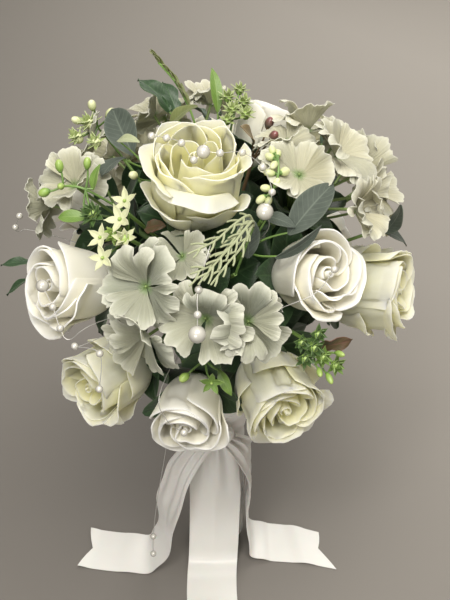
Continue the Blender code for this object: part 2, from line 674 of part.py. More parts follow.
def stem_hole(azimuth, elevation, radius, sides):
    """The plain hole in the bundle's neck that a spray's stem stands in."""
    out, skin = direction(azimuth, elevation), neck_reach(elevation)
    ends = (BALL_CENTRE + out * (skin - HOLE_DEPTH - SEAT_GAP), BALL_CENTRE + out * (skin + HOLE_RISE))
    return tube(ends, [radius + HOLE_CLEARANCE] * 2, sides)


def stem_bundle(finish):
    """The bound stems, with a stem and a cup for every bloom, and a hole for every spray and wire."""
    profile = [(BUNDLE_RADIUS * share, z) for share, z in BUNDLE_PROFILE]
    obj = mesh_object("stem_bundle", turned(profile, ROUND_SIDES, FLUTE_DEPTH), finish)
    stems = []
    for _, *spec in ROSES:
        frame = rose_frame(*spec)
        stems.append(flower_stem(frame.translation, frame.col[2].xyz))
    for _, azimuth, elevation, reach, _ in HYDRANGEAS:
        out = direction(azimuth, elevation)
        stems.append(flower_stem(BALL_CENTRE + out * (reach - HEAD_DEPTH - HEAD_FOOT_RADIUS), out))
    boolean(obj, stems, "UNION")
    holes = [stem_hole(spray[2], spray[3], SPRAY_STEM_RADIUS, STEM_SIDES) for spray in SPRAYS]
    holes += [stem_hole(pearls[1], pearls[2], WIRE_RADIUS, WIRE_SIDES) for pearls in PEARLS]
    boolean(obj, holes, "DIFFERENCE")
    return smoothed(obj)


def satin_wrap(finish):
    """The satin round the handle."""
    inner = BUNDLE_RADIUS + SEAT_GAP
    shape = ring_wall(inner, WRAP_THICKNESS, WRAP_LOW, WRAP_HIGH, ROUND_SIDES)
    return fused("satin_wrap", [shape], finish)


def ribbon_tail(stations):
    """A tail of ribbon through its stations, with a notch in its cut end."""
    grid = [[], [], []]
    for k, (place, width_turn, share, set_back) in enumerate(stations):
        centre = Vector(place)
        turn = math.radians(width_turn)
        across = Vector((math.cos(turn), math.sin(turn), 0)) * (share * RIBBON_WIDTH / 2)
        back = Vector((-math.sin(turn), math.cos(turn), 0)) * set_back
        middle = centre
        if k == len(stations) - 1:
            middle = centre + (Vector(stations[k - 1][0]) - centre).normalized() * TAIL_NOTCH
        for column, point in zip(grid, (centre - across + back, middle, centre + across + back)):
            column.append(point)
    return blade(grid, RIBBON_THICKNESS)


def ribbon_tie(finish):
    """The first ribbon: its turn round the wrap, its knot and its two tails."""
    inner = BUNDLE_RADIUS + SEAT_GAP + WRAP_THICKNESS + SEAT_GAP
    band = ring_wall(inner, RIBBON_THICKNESS, BAND_LOW, BAND_HIGH, ROUND_SIDES)
    knot = bead(KNOT, KNOT_RADIUS, 1.5 * KNOT_RADIUS, Vector((1, 0, 0)))
    return fused("ribbon_tie", [band, knot, ribbon_tail(TAIL_LEFT), ribbon_tail(TAIL_RIGHT)], finish)


def ribbon_front(finish):
    """The second ribbon's tail, tucked up under the knot."""
    return fused("ribbon_front", [ribbon_tail(TAIL_FRONT)], finish)


# Roses and hydrangeas


def rose(finishes, name, kind, azimuth, elevation, reach, radius, *turns):
    """A whole rose: three layers of thin petals round a small core."""
    height = ROSE_HEIGHT[kind] * radius
    shape = petalled(radius, height, ROSE_SIDES, ROSE_CORE, ROSE_CORE_TIP, ROSE_LAYERS[kind], PETAL_THICKNESS)
    return fused(name, [shape], finishes[kind], rose_frame(kind, azimuth, elevation, reach, radius, *turns))


def floret(offset, radius, lean_right, lean_up, twist):
    """One floret: four scalloped petals about an eye, on a pedicel that runs to the foot of the head."""
    spin = Matrix.Rotation(math.radians(twist), 4, "Z")
    frame = Matrix.Translation(offset) @ leaning(lean_right, lean_up) @ spin
    flower = petalled(radius, radius, FLORET_SIDES, FLORET_CORE, FLORET_EYE, FLORET_LAYERS, FLORET_THICKNESS)
    points, faces = moved(flower, frame)
    for k in range(FLORET_SIDES):
        turn = 2 * math.pi * k / FLORET_SIDES
        around = Vector((math.cos(turn), math.sin(turn), 0)) * PEDICEL_RADIUS
        points[k] = Vector((0, 0, -HEAD_DEPTH)) + frame.to_3x3() @ around
    return points, faces


def hydrangea(name, azimuth, elevation, reach, florets, finish):
    """A head of florets whose pedicels meet at its foot."""
    shapes = [bead(Vector((0, 0, -HEAD_DEPTH)), HEAD_FOOT_RADIUS)]
    shapes += [floret(spec[:3], *spec[3:]) for spec in florets]
    return fused(name, shapes, finish, placed(azimuth, elevation, reach))


# Sprays of leaves, buds and small flowers


def nearest(joints, place):
    """The joint of a spray that is nearest to a place."""
    return min(joints, key=lambda joint: (joint - place).length)


def stalk(joints, place):
    """A thin twig to a place from the nearest joint of its spray."""
    return tube([nearest(joints, place), place], [TWIG_RADIUS, TWIG_RADIUS], TWIG_SIDES)


def twig(joints, spots):
    """A thin twig from the nearest joint through spots, whose places other pieces can grow from."""
    places = [spot(*place) for place in spots]
    points = [nearest(joints, places[0])] + places
    joints += places
    return [tube(points, [TWIG_RADIUS] * len(points), TWIG_SIDES)]


def leaf(joints, base_spot, tip_spot, width, outline, roll):
    """A leaf arched along its length and folded along its rib, with its stalk."""
    base, tip = spot(*base_spot), spot(*tip_spot)
    along = tip - base
    out = (base + tip) / 2 - BALL_CENTRE
    side = along.cross(out).normalized()
    spin = Matrix.Rotation(math.radians(roll), 3, along)
    side, normal = spin @ side, spin @ side.cross(along).normalized()
    grid = [[], [], []]
    for share, half in LEAF_OUTLINES[outline]:
        rib = base + along * share + normal * (LEAF_ARCH * along.length * 4 * share * (1 - share))
        reach = half * width / 2
        for column, step in zip(grid, (-1, 0, 1)):
            column.append(rib + side * (step * reach) + normal * (abs(step) * LEAF_FOLD * reach))
    return [stalk(joints, base + along * 0.06), blade(grid, LEAF_THICKNESS)]


def bud(joints, place_spot, radius, half_length):
    """An egg shaped bud or berry at the end of a stalk."""
    place = spot(*place_spot)
    axis = place - nearest(joints, place)
    return [stalk(joints, place), bead(place, radius, half_length, axis)]


def star(joints, place_spot, radius):
    """A small flower of five narrow petals, facing out."""
    azimuth, elevation, _ = place_spot
    place = spot(*place_spot)
    flower = petalled(radius, radius, STAR_PETALS, STAR_CORE, STAR_EYE, STAR_LAYERS, STAR_THICKNESS)
    return [stalk(joints, place), moved(flower, placed(azimuth, elevation, (place - BALL_CENTRE).length))]


def frond(joints, spots, pairs, length):
    """A rib through spots with pairs of thin leaflets that lean towards its tip."""
    ribs = [spot(*place) for place in spots]
    ribs.insert(0, nearest(joints, ribs[0]))
    shapes = twig(joints, spots)
    for k in range(2 * pairs):
        where = (k + 0.5) / (2 * pairs) * (len(ribs) - 1)
        start, share = ribs[int(where)], where - int(where)
        ahead = (ribs[int(where) + 1] - start)
        base = start + ahead * share
        turn = LEAFLET_SPREAD if k % 2 else -LEAFLET_SPREAD
        lean = Matrix.Rotation(math.radians(turn), 3, base - BALL_CENTRE) @ ahead.normalized()
        radii = [LEAFLET_RADIUS, LEAFLET_RADIUS * LEAFLET_TIP_SHARE]
        shapes.append(tube([base - lean * LEAFLET_SUNK, base + lean * length], radii, TWIG_SIDES))
    return shapes


ORGANS = {"twig": twig, "leaf": leaf, "bud": bud, "star": star, "frond": frond}


def spray(name, finish, azimuth, elevation, organs, finishes):
    """A spray that stands in its hole in the bundle and forks among the blooms."""
    root = BALL_CENTRE + direction(azimuth, elevation) * (neck_reach(elevation) - HOLE_DEPTH)
    fork = spot(azimuth, elevation, FORK_LIFT)
    joints = [fork]
    shapes = [tube([root, fork], [SPRAY_STEM_RADIUS] * 2, STEM_SIDES)]
    for kind, *spec in organs:
        shapes += ORGANS[kind](joints, *spec)
    return fused(name, shapes, finishes[finish])


def pearl_wire(name, azimuth, elevation, bend_lift, spots, pearls, finish):
    """A wire out of the bundle, over the petals, with its pearls."""
    root = BALL_CENTRE + direction(azimuth, elevation) * (neck_reach(elevation) - HOLE_DEPTH)
    places = [spot(*place) for place in spots]
    points = [root, spot(azimuth, elevation, bend_lift)] + places
    shapes = [tube(points, [WIRE_RADIUS] * len(points), WIRE_SIDES)]
    for k, radius in pearls.items():
        shapes.append(bead(places[k], radius, fine=1 if radius == SMALL_PEARL else 2))
    return fused(name, shapes, finish)


def main():
    clear_scene()
    satin = material("white_satin", (0.86, 0.84, 0.80), 0.38)
    petals = {
        "silk": material("cream_silk_petal", (0.86, 0.83, 0.62), 0.6),
        "foam": material("white_foam_petal", (0.86, 0.84, 0.77), 0.55),
    }
    florets = material("white_silk_floret", (0.80, 0.82, 0.76), 0.7)
    pearl = material("white_pearl", (0.88, 0.86, 0.82), 0.2)
    greens = {
        "sage": material("sage_leaf", (0.20, 0.25, 0.20), 0.75),
        "pale_green": material("pale_green_spray", (0.55, 0.60, 0.36), 0.6),
        "star": material("yellow_green_flower", (0.66, 0.70, 0.42), 0.6),
        "bright_green": material("bright_green_spray", (0.22, 0.36, 0.08), 0.5),
        "dark_green": material("dark_green_leaf", (0.06, 0.16, 0.06), 0.5),
        "olive": material("olive_leaf", (0.26, 0.30, 0.10), 0.55),
        "burgundy": material("burgundy_berry", (0.18, 0.05, 0.05), 0.4),
        "red_green": material("red_edged_leaf", (0.34, 0.22, 0.12), 0.6),
    }
    stem_bundle(material("green_stem", (0.20, 0.28, 0.12), 0.7))
    satin_wrap(satin)
    ribbon_tie(satin)
    ribbon_front(satin)
    for spec in ROSES:
        rose(petals, *spec)
    for spec in HYDRANGEAS:
        hydrangea(*spec, florets)
    for spec in SPRAYS:
        spray(*spec, greens)
    for spec in PEARLS:
        pearl_wire(*spec, pearl)


main()
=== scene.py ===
"""The looks of a round bridal bouquet: silk and foam roses, hydrangea, greenery, pearls and satin ribbon.

Every piece is modelled in mesh code where its solid stands. Places are those of the part's source: the
flowers sit on a ball, and each one has the azimuth and elevation of its axis, where azimuth 0 is the front
(-Y) and grows towards +X. A spray's spot is an azimuth, an elevation and a lift above the egg shaped
surface of the head. +Z is up, and the tables give angles in degrees. Lengths are in metres, but the tables
of ribbon tails, roses, hydrangeas, sprays and pearls give them in millimetres.
"""

import math
import random
from collections import namedtuple

import bmesh
import bpy
from mathutils import Matrix, Vector, noise


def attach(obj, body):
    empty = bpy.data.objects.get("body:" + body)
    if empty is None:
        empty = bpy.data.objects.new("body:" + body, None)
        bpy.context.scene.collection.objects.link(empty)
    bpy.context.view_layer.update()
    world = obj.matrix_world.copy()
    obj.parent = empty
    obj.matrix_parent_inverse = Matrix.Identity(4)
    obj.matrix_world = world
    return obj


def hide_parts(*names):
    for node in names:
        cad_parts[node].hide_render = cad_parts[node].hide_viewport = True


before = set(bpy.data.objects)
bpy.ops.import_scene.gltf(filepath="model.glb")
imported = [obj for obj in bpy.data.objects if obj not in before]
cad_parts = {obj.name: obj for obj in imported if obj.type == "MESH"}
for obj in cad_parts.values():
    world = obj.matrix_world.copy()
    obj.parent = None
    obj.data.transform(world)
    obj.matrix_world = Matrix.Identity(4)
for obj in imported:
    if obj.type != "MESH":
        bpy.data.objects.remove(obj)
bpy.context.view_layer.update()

MM = 0.001
UP = Vector((0, 0, 1))

# The flowers' ball, and half the width and half the height of the head of flowers about its centre
BALL_CENTRE = Vector((0.0, 0.0, 0.245))
HEAD_ACROSS = 0.122
HEAD_UP = 0.106

# Handle
WRAP_RADIUS = 0.0204
WRAP_LOW = 0.009
WRAP_HIGH = 0.150
WRAP_THICKNESS = 0.0006
WRAP_TURNS = 5.5
BAND_RADIUS = 0.0217
BAND_LOW = 0.126
BAND_HIGH = 0.148
KNOT = Vector((0.002, -0.0277, 0.137))
KNOT_SIZE = (0.0108, 0.0072, 0.0080)
RIBBON_WIDTH = 0.038
RIBBON_THICKNESS = 0.00035
RIBBON_PLEATS = 3
TAIL_COLUMNS = 37
TAIL_STEPS = 8
TAIL_NOTCH = 0.010
TAIL_WAVE = 0.0012
TAIL_LOWEST = 0.0006

# Ribbon tails, from the knot to the cut end: place, direction of the width in degrees from +X, share of the
# full width, and how far the two edges are set back
TAILS = {
    "ribbon_left_tail": (
        (-4, -28.5, 134, 150, 0.35, 0),
        (-17, -30, 118, 128, 0.60, 2),
        (-28, -28.5, 90, 117, 0.85, 3),
        (-36, -26, 55, 112, 1, 2),
        (-42, -24.5, 22, 103, 1, 1),
        (-50, -23.5, 6, 95, 1, 0),
        (-62, -22, 0.6, 88, 1, 0),
        (-85, -19, 0.6, 84, 1, 0),
        (-106, -15, 0.6, 80, 1, 0),
    ),
    "ribbon_right_tail": (
        (8, -28, 134, 30, 0.35, 0),
        (19, -22.5, 118, 60, 0.60, 1),
        (23.8, -14, 95, 86, 0.90, 0),
        (23.8, -11, 50, 90, 1, 0),
        (24.5, -10.5, 16, 90, 1, 0),
        (30, -11, 4, 90, 1, 0),
        (44, -12, 0.6, 92, 1, 0),
        (66, -15, 0.6, 100, 1, 0),
        (88, -21, 0.6, 106, 1, 0),
    ),
    "ribbon_front_tail": (
        (-1, -23, 128.5, 0, 0.45, 0),
        (-1, -23.8, 120, 0, 0.60, 2),
        (-1, -25, 106, 0, 0.85, 4),
        (-1, -25.5, 70, 0, 1, 4),
        (-2, -27, 30, 0, 1, 3),
        (-3, -32, 8.5, 0, 1, 1),
        (-4, -43, 0.6, 0, 1, 0),
        (-4, -64, 0.6, 0, 1, 0),
        (-2, -86, 0.6, 4, 1, 0),
        (1, -106, 0.6, 10, 1, 0),
    ),
}
TAIL_NODES = {
    "ribbon_left_tail": "ribbon_tie",
    "ribbon_right_tail": "ribbon_tie",
    "ribbon_front_tail": "ribbon_front",
}

# Roses: name, kind, azimuth, elevation, reach of the eye from the ball's centre, radius, how far the axis
# leans to the right and up, and its twist
ROSES = (
    ("rose_crown", "silk", -9, 66, 136, 29.0, 6, 10, 12),
    ("rose_left", "foam", -57, 21, 124, 31.6, 4, 2, 40),
    ("rose_low_left", "silk", -38, -3, 122, 26.8, -6, 6, 70),
    ("rose_low_centre", "foam", -8, -8, 122, 26.4, 0, 0, 15),
    ("rose_low_right", "silk", 20, -5, 121, 27.8, 0, 0, 50),
    ("rose_right", "foam", 38, 32, 122, 29.5, 0, 0, 25),
    ("rose_far_right", "silk", 67, 13, 126, 30.0, 0, 0, 5),
    ("rose_crown_back", "foam", 146, 57, 120, 27.0, 0, 0, 33),
    ("rose_back_right", "silk", 101, -6, 118, 28.5, 0, 0, 20),
    ("rose_back_low_1", "foam", 134, -7, 119, 28.5, 0, 0, 60),
    ("rose_back_low_2", "silk", 166, -5, 120, 28.5, 0, 0, 10),
    ("rose_back_low_3", "foam", -162, -7, 119, 28.5, 0, 0, 45),
    ("rose_back_low_4", "silk", -130, -8, 118, 28.0, 0, 0, 28),
    ("rose_back_left", "foam", -97, -8, 109, 26.0, 0, 0, 66),
    ("rose_back_middle", "silk", -178, 27, 120, 26.8, 0, 0, 18),
    ("rose_back_upper_left", "foam", -117, 21, 118, 27.0, 0, 0, 52),
)
ROSE_HEIGHT = {"silk": 1.68, "foam": 1.48}
ROSE_THICKNESS = {"silk": 0.00045, "foam": 0.0009}
ROSE_SLOT = {"silk": "cream_silk_petal", "foam": "white_foam_petal"}

# How much fuller across a rose is than its radius alone makes it
FULLNESS = {"rose_crown": 1.13}

# Layers of rose petals, outer first. Lengths are shares of the radius. Headings are pairs of the share of a
# petal's length and its slope there: 0 is straight out, 90 straight up. Its rim folds out by the angle of
# the lip, over lip_span of its length from lip_start, and runs straight from there.
LAYER_VALUES = "count first half root length headings lip lip_start lip_span swirl flat round wave"
Layer = namedtuple("Layer", LAYER_VALUES)
GUARD = ((0.0, 8), (0.35, 52), (0.75, 82), (1.0, 80))
OPEN = ((0.0, 10), (0.25, 58), (0.55, 84), (1.0, 82))
BULGED = ((0.0, 4), (0.25, 54), (0.5, 87), (1.0, 93))
CUPPED = ((0.0, 20), (0.28, 60), (0.6, 90), (1.0, 95))
TIGHT = ((0.0, 45), (0.35, 75), (0.7, 94), (1.0, 98))
ROSE_LAYERS = {
    "silk": (
        Layer(4, 213, 46, (0.15, 0.00), 1.42, GUARD, 40, 0.66, 0.24, 0.08, 0.04, 0.24, 0.028),
        Layer(5, 50, 49, (0.14, 0.04), 1.98, BULGED, 126, 0.82, 0.07, 0.10, 0.06, 0.13, 0.030),
        Layer(4, 24, 56, (0.14, 0.10), 1.88, CUPPED, 40, 0.85, 0.10, 0.12, 0.08, 0.20, 0.020),
        Layer(3, 70, 68, (0.12, 0.18), 1.72, CUPPED, 16, 0.82, 0.12, 0.14, 0.10, 0.26, 0.012),
        Layer(3, 10, 72, (0.08, 0.26), 1.50, TIGHT, 8, 0.80, 0.14, 0.13, 0.10, 0.24, 0.008),
    ),
    "foam": (
        Layer(4, 18, 58, (0.14, 0.02), 1.66, OPEN, 52, 0.70, 0.18, 0.14, 0.06, 0.16, 0.008),
        Layer(3, 54, 70, (0.13, 0.08), 1.62, CUPPED, 24, 0.74, 0.20, 0.16, 0.10, 0.16, 0.006),
        Layer(3, 20, 72, (0.11, 0.14), 1.54, CUPPED, 8, 0.74, 0.20, 0.16, 0.14, 0.18, 0.005),
        Layer(2, 75, 98, (0.08, 0.20), 1.40, TIGHT, 4, 0.74, 0.20, 0.13, 0.10, 0.18, 0.004),
    ),
}
HEART_TURNS = 1.5
HEART_RADIUS = {"silk": 0.20, "foam": 0.21}
HEART_GRID = (40, 6)

# Rows of a rose petal below the fold of its lip, in it and beyond it
PETAL_ROWS = (11, 7, 4)
PETAL_COLUMNS = 17
LIP_FLUTTER = 30
ROOT_WIDTH = 0.62

# Hydrangea heads: name, azimuth, elevation and reach, then a row for each floret with its offset (right,
# up, out), its radius, its lean to the right and up, and its twist
HYDRANGEAS = (
    ("hydrangea_front", -9, 27, 112, (
        (-20, 14, 10, 24.5, -18, 10, 10),
        (13, 1, 14, 25, -4, -4, 40),
        (34, 0, 8, 23.5, 26, -2, 65),
        (-20, -14, 2, 24, -22, -34, 25),
        (-4, 30, -2, 17, -4, 34, 80),
    )),
    ("hydrangea_upper_right", 72, 55, 116, (
        (0, 0, 12, 24.5, 0, 0, 15),
        (-26, 12, 2, 21.5, -30, 16, 50),
        (20, 20, 2, 23, 26, 26, 75),
        (20, -20, 2, 23, 26, -28, 30),
        (-16, -26, 2, 21.5, -14, -34, 60),
    )),
    ("hydrangea_upper_left", -88, 42, 112, (
        (-16, 15, 4, 22.5, -22, 24, 5),
        (18, 9, 6, 22.5, 24, 14, 45),
        (0, -20, 4, 23, 0, -30, 70),
    )),
    ("hydrangea_crown_back", -158, 58, 110, (
        (-19, 10, 4, 20, -24, 14, 35),
        (19, 9, 4, 18.5, 24, 12, 5),
        (4, -19, 4, 20.5, 2, -30, 60),
    )),
    ("hydrangea_back_right", 113, 24, 112, (
        (-16, 12, 4, 21.5, -22, 18, 20),
        (18, 8, 4, 20.5, 26, 12, 55),
        (0, -18, 4, 21.5, 0, -28, 80),
    )),
    ("hydrangea_back_middle", 150, 25, 112, (
        (-14, 14, 4, 20.5, -20, 20, 10),
        (17, 6, 5, 20.5, 24, 8, 50),
        (-4, -19, 4, 21.5, -4, -30, 75),
    )),
    ("hydrangea_back_left", -147, 22, 112, (
        (-12, 10, 4, 18.5, -22, 14, 30),
        (16, 12, 4, 21.5, 22, 18, 60),
        (2, -19, 4, 21.5, 2, -30, 5),
    )),
)

# More florets, which the solids don't have: one in the middle of the heads of three, and three round the
# upper right head
MIDDLE_FLORET = (1, 1, 6, 19, 0, 0, 33)
MORE_FLORETS = {spec[0]: (MIDDLE_FLORET,) for spec in HYDRANGEAS if len(spec[-1]) == 3}
MORE_FLORETS["hydrangea_upper_right"] = (
    (31, 1, 0, 20, 40, 0, 40),
    (-3, 27, 0, 20, -6, 40, 10),
    (4, -28, 2, 19, 4, -40, 55),
)
# Each head's mix of grey green (0) and cream (1) for its florets: partly their tone, partly painted shade,
# darkest on the front head and lightest on the heads that face up
HEAD_TONE_AND_SHADE = {"hydrangea_front": 0.15, "hydrangea_upper_left": 0.5}
OTHER_TONE_AND_SHADE = 0.7
HEAD_DEPTH = 0.034
FLORET_PETALS = 5
FLORET_THICKNESS = 0.0003
FAN_HALF = 47
FAN_TILT = 0.13
FAN_COLUMNS = 31
FAN_ROWS = 11
STAMENS = 5
PEDICEL_RADIUS = 0.0009

# Leaf outlines: share of the length, and half width as a share of the full half width
LEAF_OUTLINES = {
    "oval": ((0.0, 0.10), (0.18, 0.68), (0.45, 1.00), (0.72, 0.86), (0.92, 0.42), (1.0, 0.03)),
    "long": ((0.0, 0.20), (0.25, 0.90), (0.50, 1.00), (0.78, 0.66), (1.0, 0.03)),
    "waved": (
        (0.0, 0.12), (0.22, 0.85), (0.36, 0.74), (0.55, 0.98), (0.68, 0.82), (0.84, 0.62), (1.0, 0.04),
    ),
}
LEAF_COLUMNS = 9
LEAF_ROWS = 15
LEAF_THICKNESS = 0.0004
LEAF_ARCH = 0.10
LEAF_FOLD = 0.22
SPRAY_STEM_RADIUS = 0.0011
TWIG_RADIUS = 0.0006
FORK_LIFT = -12
STEM_ROOT_REACH = 0.024
STAR_PETALS = 5
FROND_LEAF_WIDTH = 0.0021
STRAND_RADIUS = 0.0008

# Sprays: name, slot, azimuth and elevation of the stem, and what it carries, a row for each. A spot is an
# azimuth, an elevation and a lift. A twig runs through spots; a leaf has base, tip, width, outline and roll;
# a bud has its spot, radius and half length; a star has its spot and radius; a frond has its pairs of
# leaflets, their length and its spots; a rosette has its spot, its radius and its number of leaves; a strand
# has its number of shoots and its spots. A leaf and a rosette may have their finish's number last.
SPRAYS = (
    ("sage_right", "sage_leaf", 13, 45,
     ("leaf", ((28, 45, 7), (49, 51, 24), 17, "oval", -20), ((23, 52, 5), (30, 46, 12), 7.5, "long", 10),
      ((20, 40, 8), (38, 44, 16), 7, "long", 40), ((13, 42, -6), (15, 54, 2), 13, "oval", 0))),
    ("cream_buds", "pale_green_spray", 27, 54,
     ("twig", ((28, 57, 15), (33, 60, 18), (36, 63, 21))),
     ("bud", ((40, 65, 20), 2.2, 3.2), ((34, 65, 20), 2.2, 3.0), ((29, 61, 18), 2.0, 3.4),
      ((37, 60, 18), 2.4, 3.2), ((22, 56, 10), 2.2, 3.2), ((32, 62, 21), 2.0, 3.0), ((37, 66, 22), 1.9, 2.8),
      ((25, 58, 14), 2.1, 3.0), ((30, 58, 17), 1.9, 2.8), ((25, 55, 10), 2.0, 3.0))),
    ("fern", "pale_green_spray", 8, 38,
     ("twig", ((15, 49, 10),)),
     ("strand", (10, (13, 51, 16), (6, 48, 22), (0, 44, 28), (-7, 41, 31)),
      (11, (13, 49, 18), (6, 44, 24), (1, 40, 29), (-4, 35, 31)),
      (10, (13, 48, 16), (8, 43, 22), (3, 39, 27), (-1, 35, 30)),
      (10, (11, 49, 18), (4, 43, 24), (-1, 39, 28), (-6, 37, 31)))),
    ("star_flowers", "yellow_green_flower", -42, 44,
     ("star", ((-36, 47, 13), 8.8), ((-40, 52, 11), 8.0), ((-40, 41, 12), 7.8), ((-33, 37, 19), 7.8)),
     ("rosette", ((-32, 43, 10), 6.6, 12), ((-37, 43, 9), 6.0, 12, 2))),
    ("berry_left", "bright_green_spray", -52, 51,
     ("twig", ((-58, 49, 16), (-64, 46, 22))),
     ("rosette", ((-50, 45, 10), 7.0, 24, 5)),
     ("bud", ((-67, 49, 30), 2.3, 3.6), ((-66, 42, 26), 2.6, 3.4), ((-60, 54, 26), 2.2, 3.4),
      ((-61, 46, 26), 2.0, 3.2)),
     ("leaf", ((-56, 50, 14), (-60, 56, 20), 6, "long", 0), ((-55, 43, 6), (-61, 39, 14), 8, "oval", 0))),
    ("leaf_under_crown", "red_edged_leaf", -30, 48,
     ("leaf", ((-31, 48, -2), (-21, 50, 3), 8, "waved", 0))),
    ("sage_upper_left", "sage_leaf", -80, 68,
     ("leaf", ((-84, 64, 0), (-112, 60, 22), 19, "oval", 0), ((-76, 62, 4), (-66, 54, 8), 14, "oval", 0))),
    ("pale_leaf_upper_left", "pale_green_spray", -60, 66,
     ("leaf", ((-74, 63, 17), (-56, 67, 19), 6.5, "long", 0)),
     ("bud", ((-50, 60, 8), 2.4, 3.4))),
    ("pale_berries", "pale_green_spray", -124, 46,
     ("twig", ((-120, 48, 6), (-116, 50, 14))),
     ("bud", ((-114, 54, 28), 2.6, 3.6), ((-110, 49, 25), 2.4, 3.6), ((-118, 56, 18), 3.2, 4.2),
      ((-110, 45, 16), 2.6, 3.4)),
     ("rosette", ((-107, 53, 20), 7.2, 16, 3), ((-94, 52, 20), 6.8, 16, 3), ((-115, 49, 18), 6.0, 14, 3),
      ((-86, 57, 16), 6.0, 14, 3))),
    ("curled_leaf_top", "dark_green_leaf", -140, 74,
     ("leaf", ((-130, 73, 11), (-127, 66, 32), 15, "waved", 0),
      ((-136, 74, 8), (-142, 68, 26), 11, "waved", 0))),
    ("olive_twigs", "olive_leaf", -164, 72,
     ("twig", ((-158, 70, 8),)),
     ("frond", (3, 12, (-152, 68, 24), (-144, 67, 38)))),
    ("olive_leaf_top", "olive_leaf", -116, 77,
     ("leaf", ((-108, 76, 6), (-150, 81, 14), 15, "oval", 0))),
    ("long_leaf_top", "bright_green_spray", 176, 77,
     ("leaf", ((175, 75, 6), (-179, 70, 31), 7.5, "long", 0))),
    ("green_clusters_top", "bright_green_spray", 150, 80,
     ("twig", ((152, 77, 4), (158, 73, 10))),
     ("rosette", ((164, 75, 15), 6.0, 18, 4), ((150, 72, 12), 6.0, 18, 4), ((159, 69, 18), 5.6, 18, 4),
      ((152, 76, 10), 5.0, 14, 4), ((140, 82, 12), 5.8, 16, 4), ((113, 80, 12), 5.8, 16, 4),
      ((128, 85, 8), 5.2, 14, 4))),
    ("burgundy_berries", "burgundy_berry", 84, 76,
     ("bud", ((94, 74, 12), 2.6, 3.6), ((69, 72, 12), 2.6, 3.6)),
     ("leaf", ((70, 77, 2), (56, 81, 13), 13, "oval", 0))),
    ("green_leaves_behind", "dark_green_leaf", 114, 48,
     ("leaf", ((112, 49, 2), (108, 55, 20), 11, "waved", 0), ((118, 47, 2), (126, 43, 18), 12, "waved", 0))),
    ("green_low_right", "bright_green_spray", 31, 12,
     ("leaf", ((31, 13, -6), (38, 14, 6), 9, "waved", 0, 3)),
     ("rosette", ((27, 15, 2), 6.2, 14, 5), ((32, 9, 5), 5.8, 14), ((24, 13, 2), 5.6, 14, 5),
      ((29, 18, 1), 5.6, 14, 5), ((29, 12, 3), 5.6, 14), ((24, 17, 0), 5.2, 14, 5)),
     ("bud", ((26, 10, 9), 1.7, 3.6), ((29, 7, 8), 1.8, 3.8), ((32, 13, 10), 1.7, 3.6))),
    ("green_low_centre", "bright_green_spray", -3, 13,
     ("star", ((-1, 11, 6), 7.0)),
     ("bud", ((-8, 11, 2), 2.4, 3.4)),
     ("leaf", ((1, 12, -4), (4, 6, 2), 6, "long", 0))),
    ("leaves_far_left", "dark_green_leaf", -84, 12,
     ("leaf", ((-84, 12, -10), (-84, 11, 16), 9, "waved", 0), ((-84, 8, -10), (-83, 2, 12), 9, "waved", 0))),
    ("leaves_right", "sage_leaf", 96, 18,
     ("leaf", ((95, 17, -6), (92, 26, 12), 13, "oval", 0), ((97, 16, -6), (98, 8, 8), 13, "oval", 0))),
    ("leaves_back_right", "sage_leaf", 136, 12,
     ("leaf", ((136, 12, -4), (136, 17, 14), 10, "oval", 0))),
    ("leaves_back", "dark_green_leaf", 180, 48,
     ("leaf", ((178, 48, -2), (168, 46, 14), 13, "waved", 0),
      ((-178, 47, -2), (-170, 42, 12), 12, "waved", 0))),
)

# Pearls: name, azimuth and elevation of the wire's root, the lift where the wire first bends, and a row for
# each spot that it runs through from there, with the radius of the pearl on it, or 0
LARGE = 4.6
MIDDLE = 3.7
SMALL = 2.1
PEARL_SIDES = 28
PEARL_RINGS = 18
WIRE_RADIUS = 0.00022
WIRE_STEPS = 8
PEARLS = (
    ("pearls_crown", 22, 48, 0,
     (19, 51, 18, LARGE), (26, 56, 16, SMALL), (25, 62, 22, SMALL), (15, 65, 29, SMALL), (3, 64, 33, SMALL),
     (-5, 64, 34, MIDDLE), (-9, 62, 33, SMALL), (-17, 66, 34, SMALL), (-27, 67, 33, SMALL),
     (-38, 67, 31, SMALL)),
    ("pearls_front", 0, 46, 19, (-4, 34, 25, SMALL), (-4, 29, 26, SMALL), (-4, 25, 25, LARGE)),
    ("pearls_left", -36, 19, -4,
     (-40, 14, 8, 0), (-43, 16, 10, SMALL), (-47, 20, 11, SMALL), (-53, 23, 12, MIDDLE)),
    ("pearls_far_left", -96, 17, -4, (-93, 17, 10, 0), (-90, 20, 13, SMALL), (-88, 25, 14, SMALL)),
    ("pearls_low_left", -37, 13, 0, (-38, 13, 8, SMALL), (-30, 14, 8, SMALL), (-29, 5, 10, SMALL)),
    ("pearls_low_centre", -14, 7, 0, (-12, 0, 8, 0), (-8, -5, 6, SMALL)),
    ("pearls_right", 18, 27, 2, (19, 28, 8, 0), (27, 30, 17, 0), (37, 33, 11, SMALL)),
    ("pearls_hanging", -27, -24, -55,
     (-27, -30, -50, 0), (-29, -52, -2, 0), (-30, -58, 42, 0), (-30, -61, 72, SMALL), (-30, -63, 88, SMALL)),
)

# Stems inside the binding: rings of the bundle with their highest elevation of a bloom, radius and thickness
STEM_RINGS = ((30, 0.0161, 0.0030), (60, 0.0083, 0.0036), (90, 0.0, 0.0042))
BLOOM_STEM_RADIUS = 0.0019
CALYX = ((0.0020, -0.006), (0.0050, -0.003), (0.0068, 0.0), (0.004, 0.0012))
SEPALS = 5
SEPAL_LENGTH = 0.014
STEM_LEAVES = 5
NECK = Vector((0, 0, 0.190))
INNER_LEAVES = 54
INNER_LEAF_WIDTH = 0.036
INNER_STALK_REACH = 0.042
INNER_STALK_RADIUS = 0.0009
GOLDEN_ANGLE = 137.5

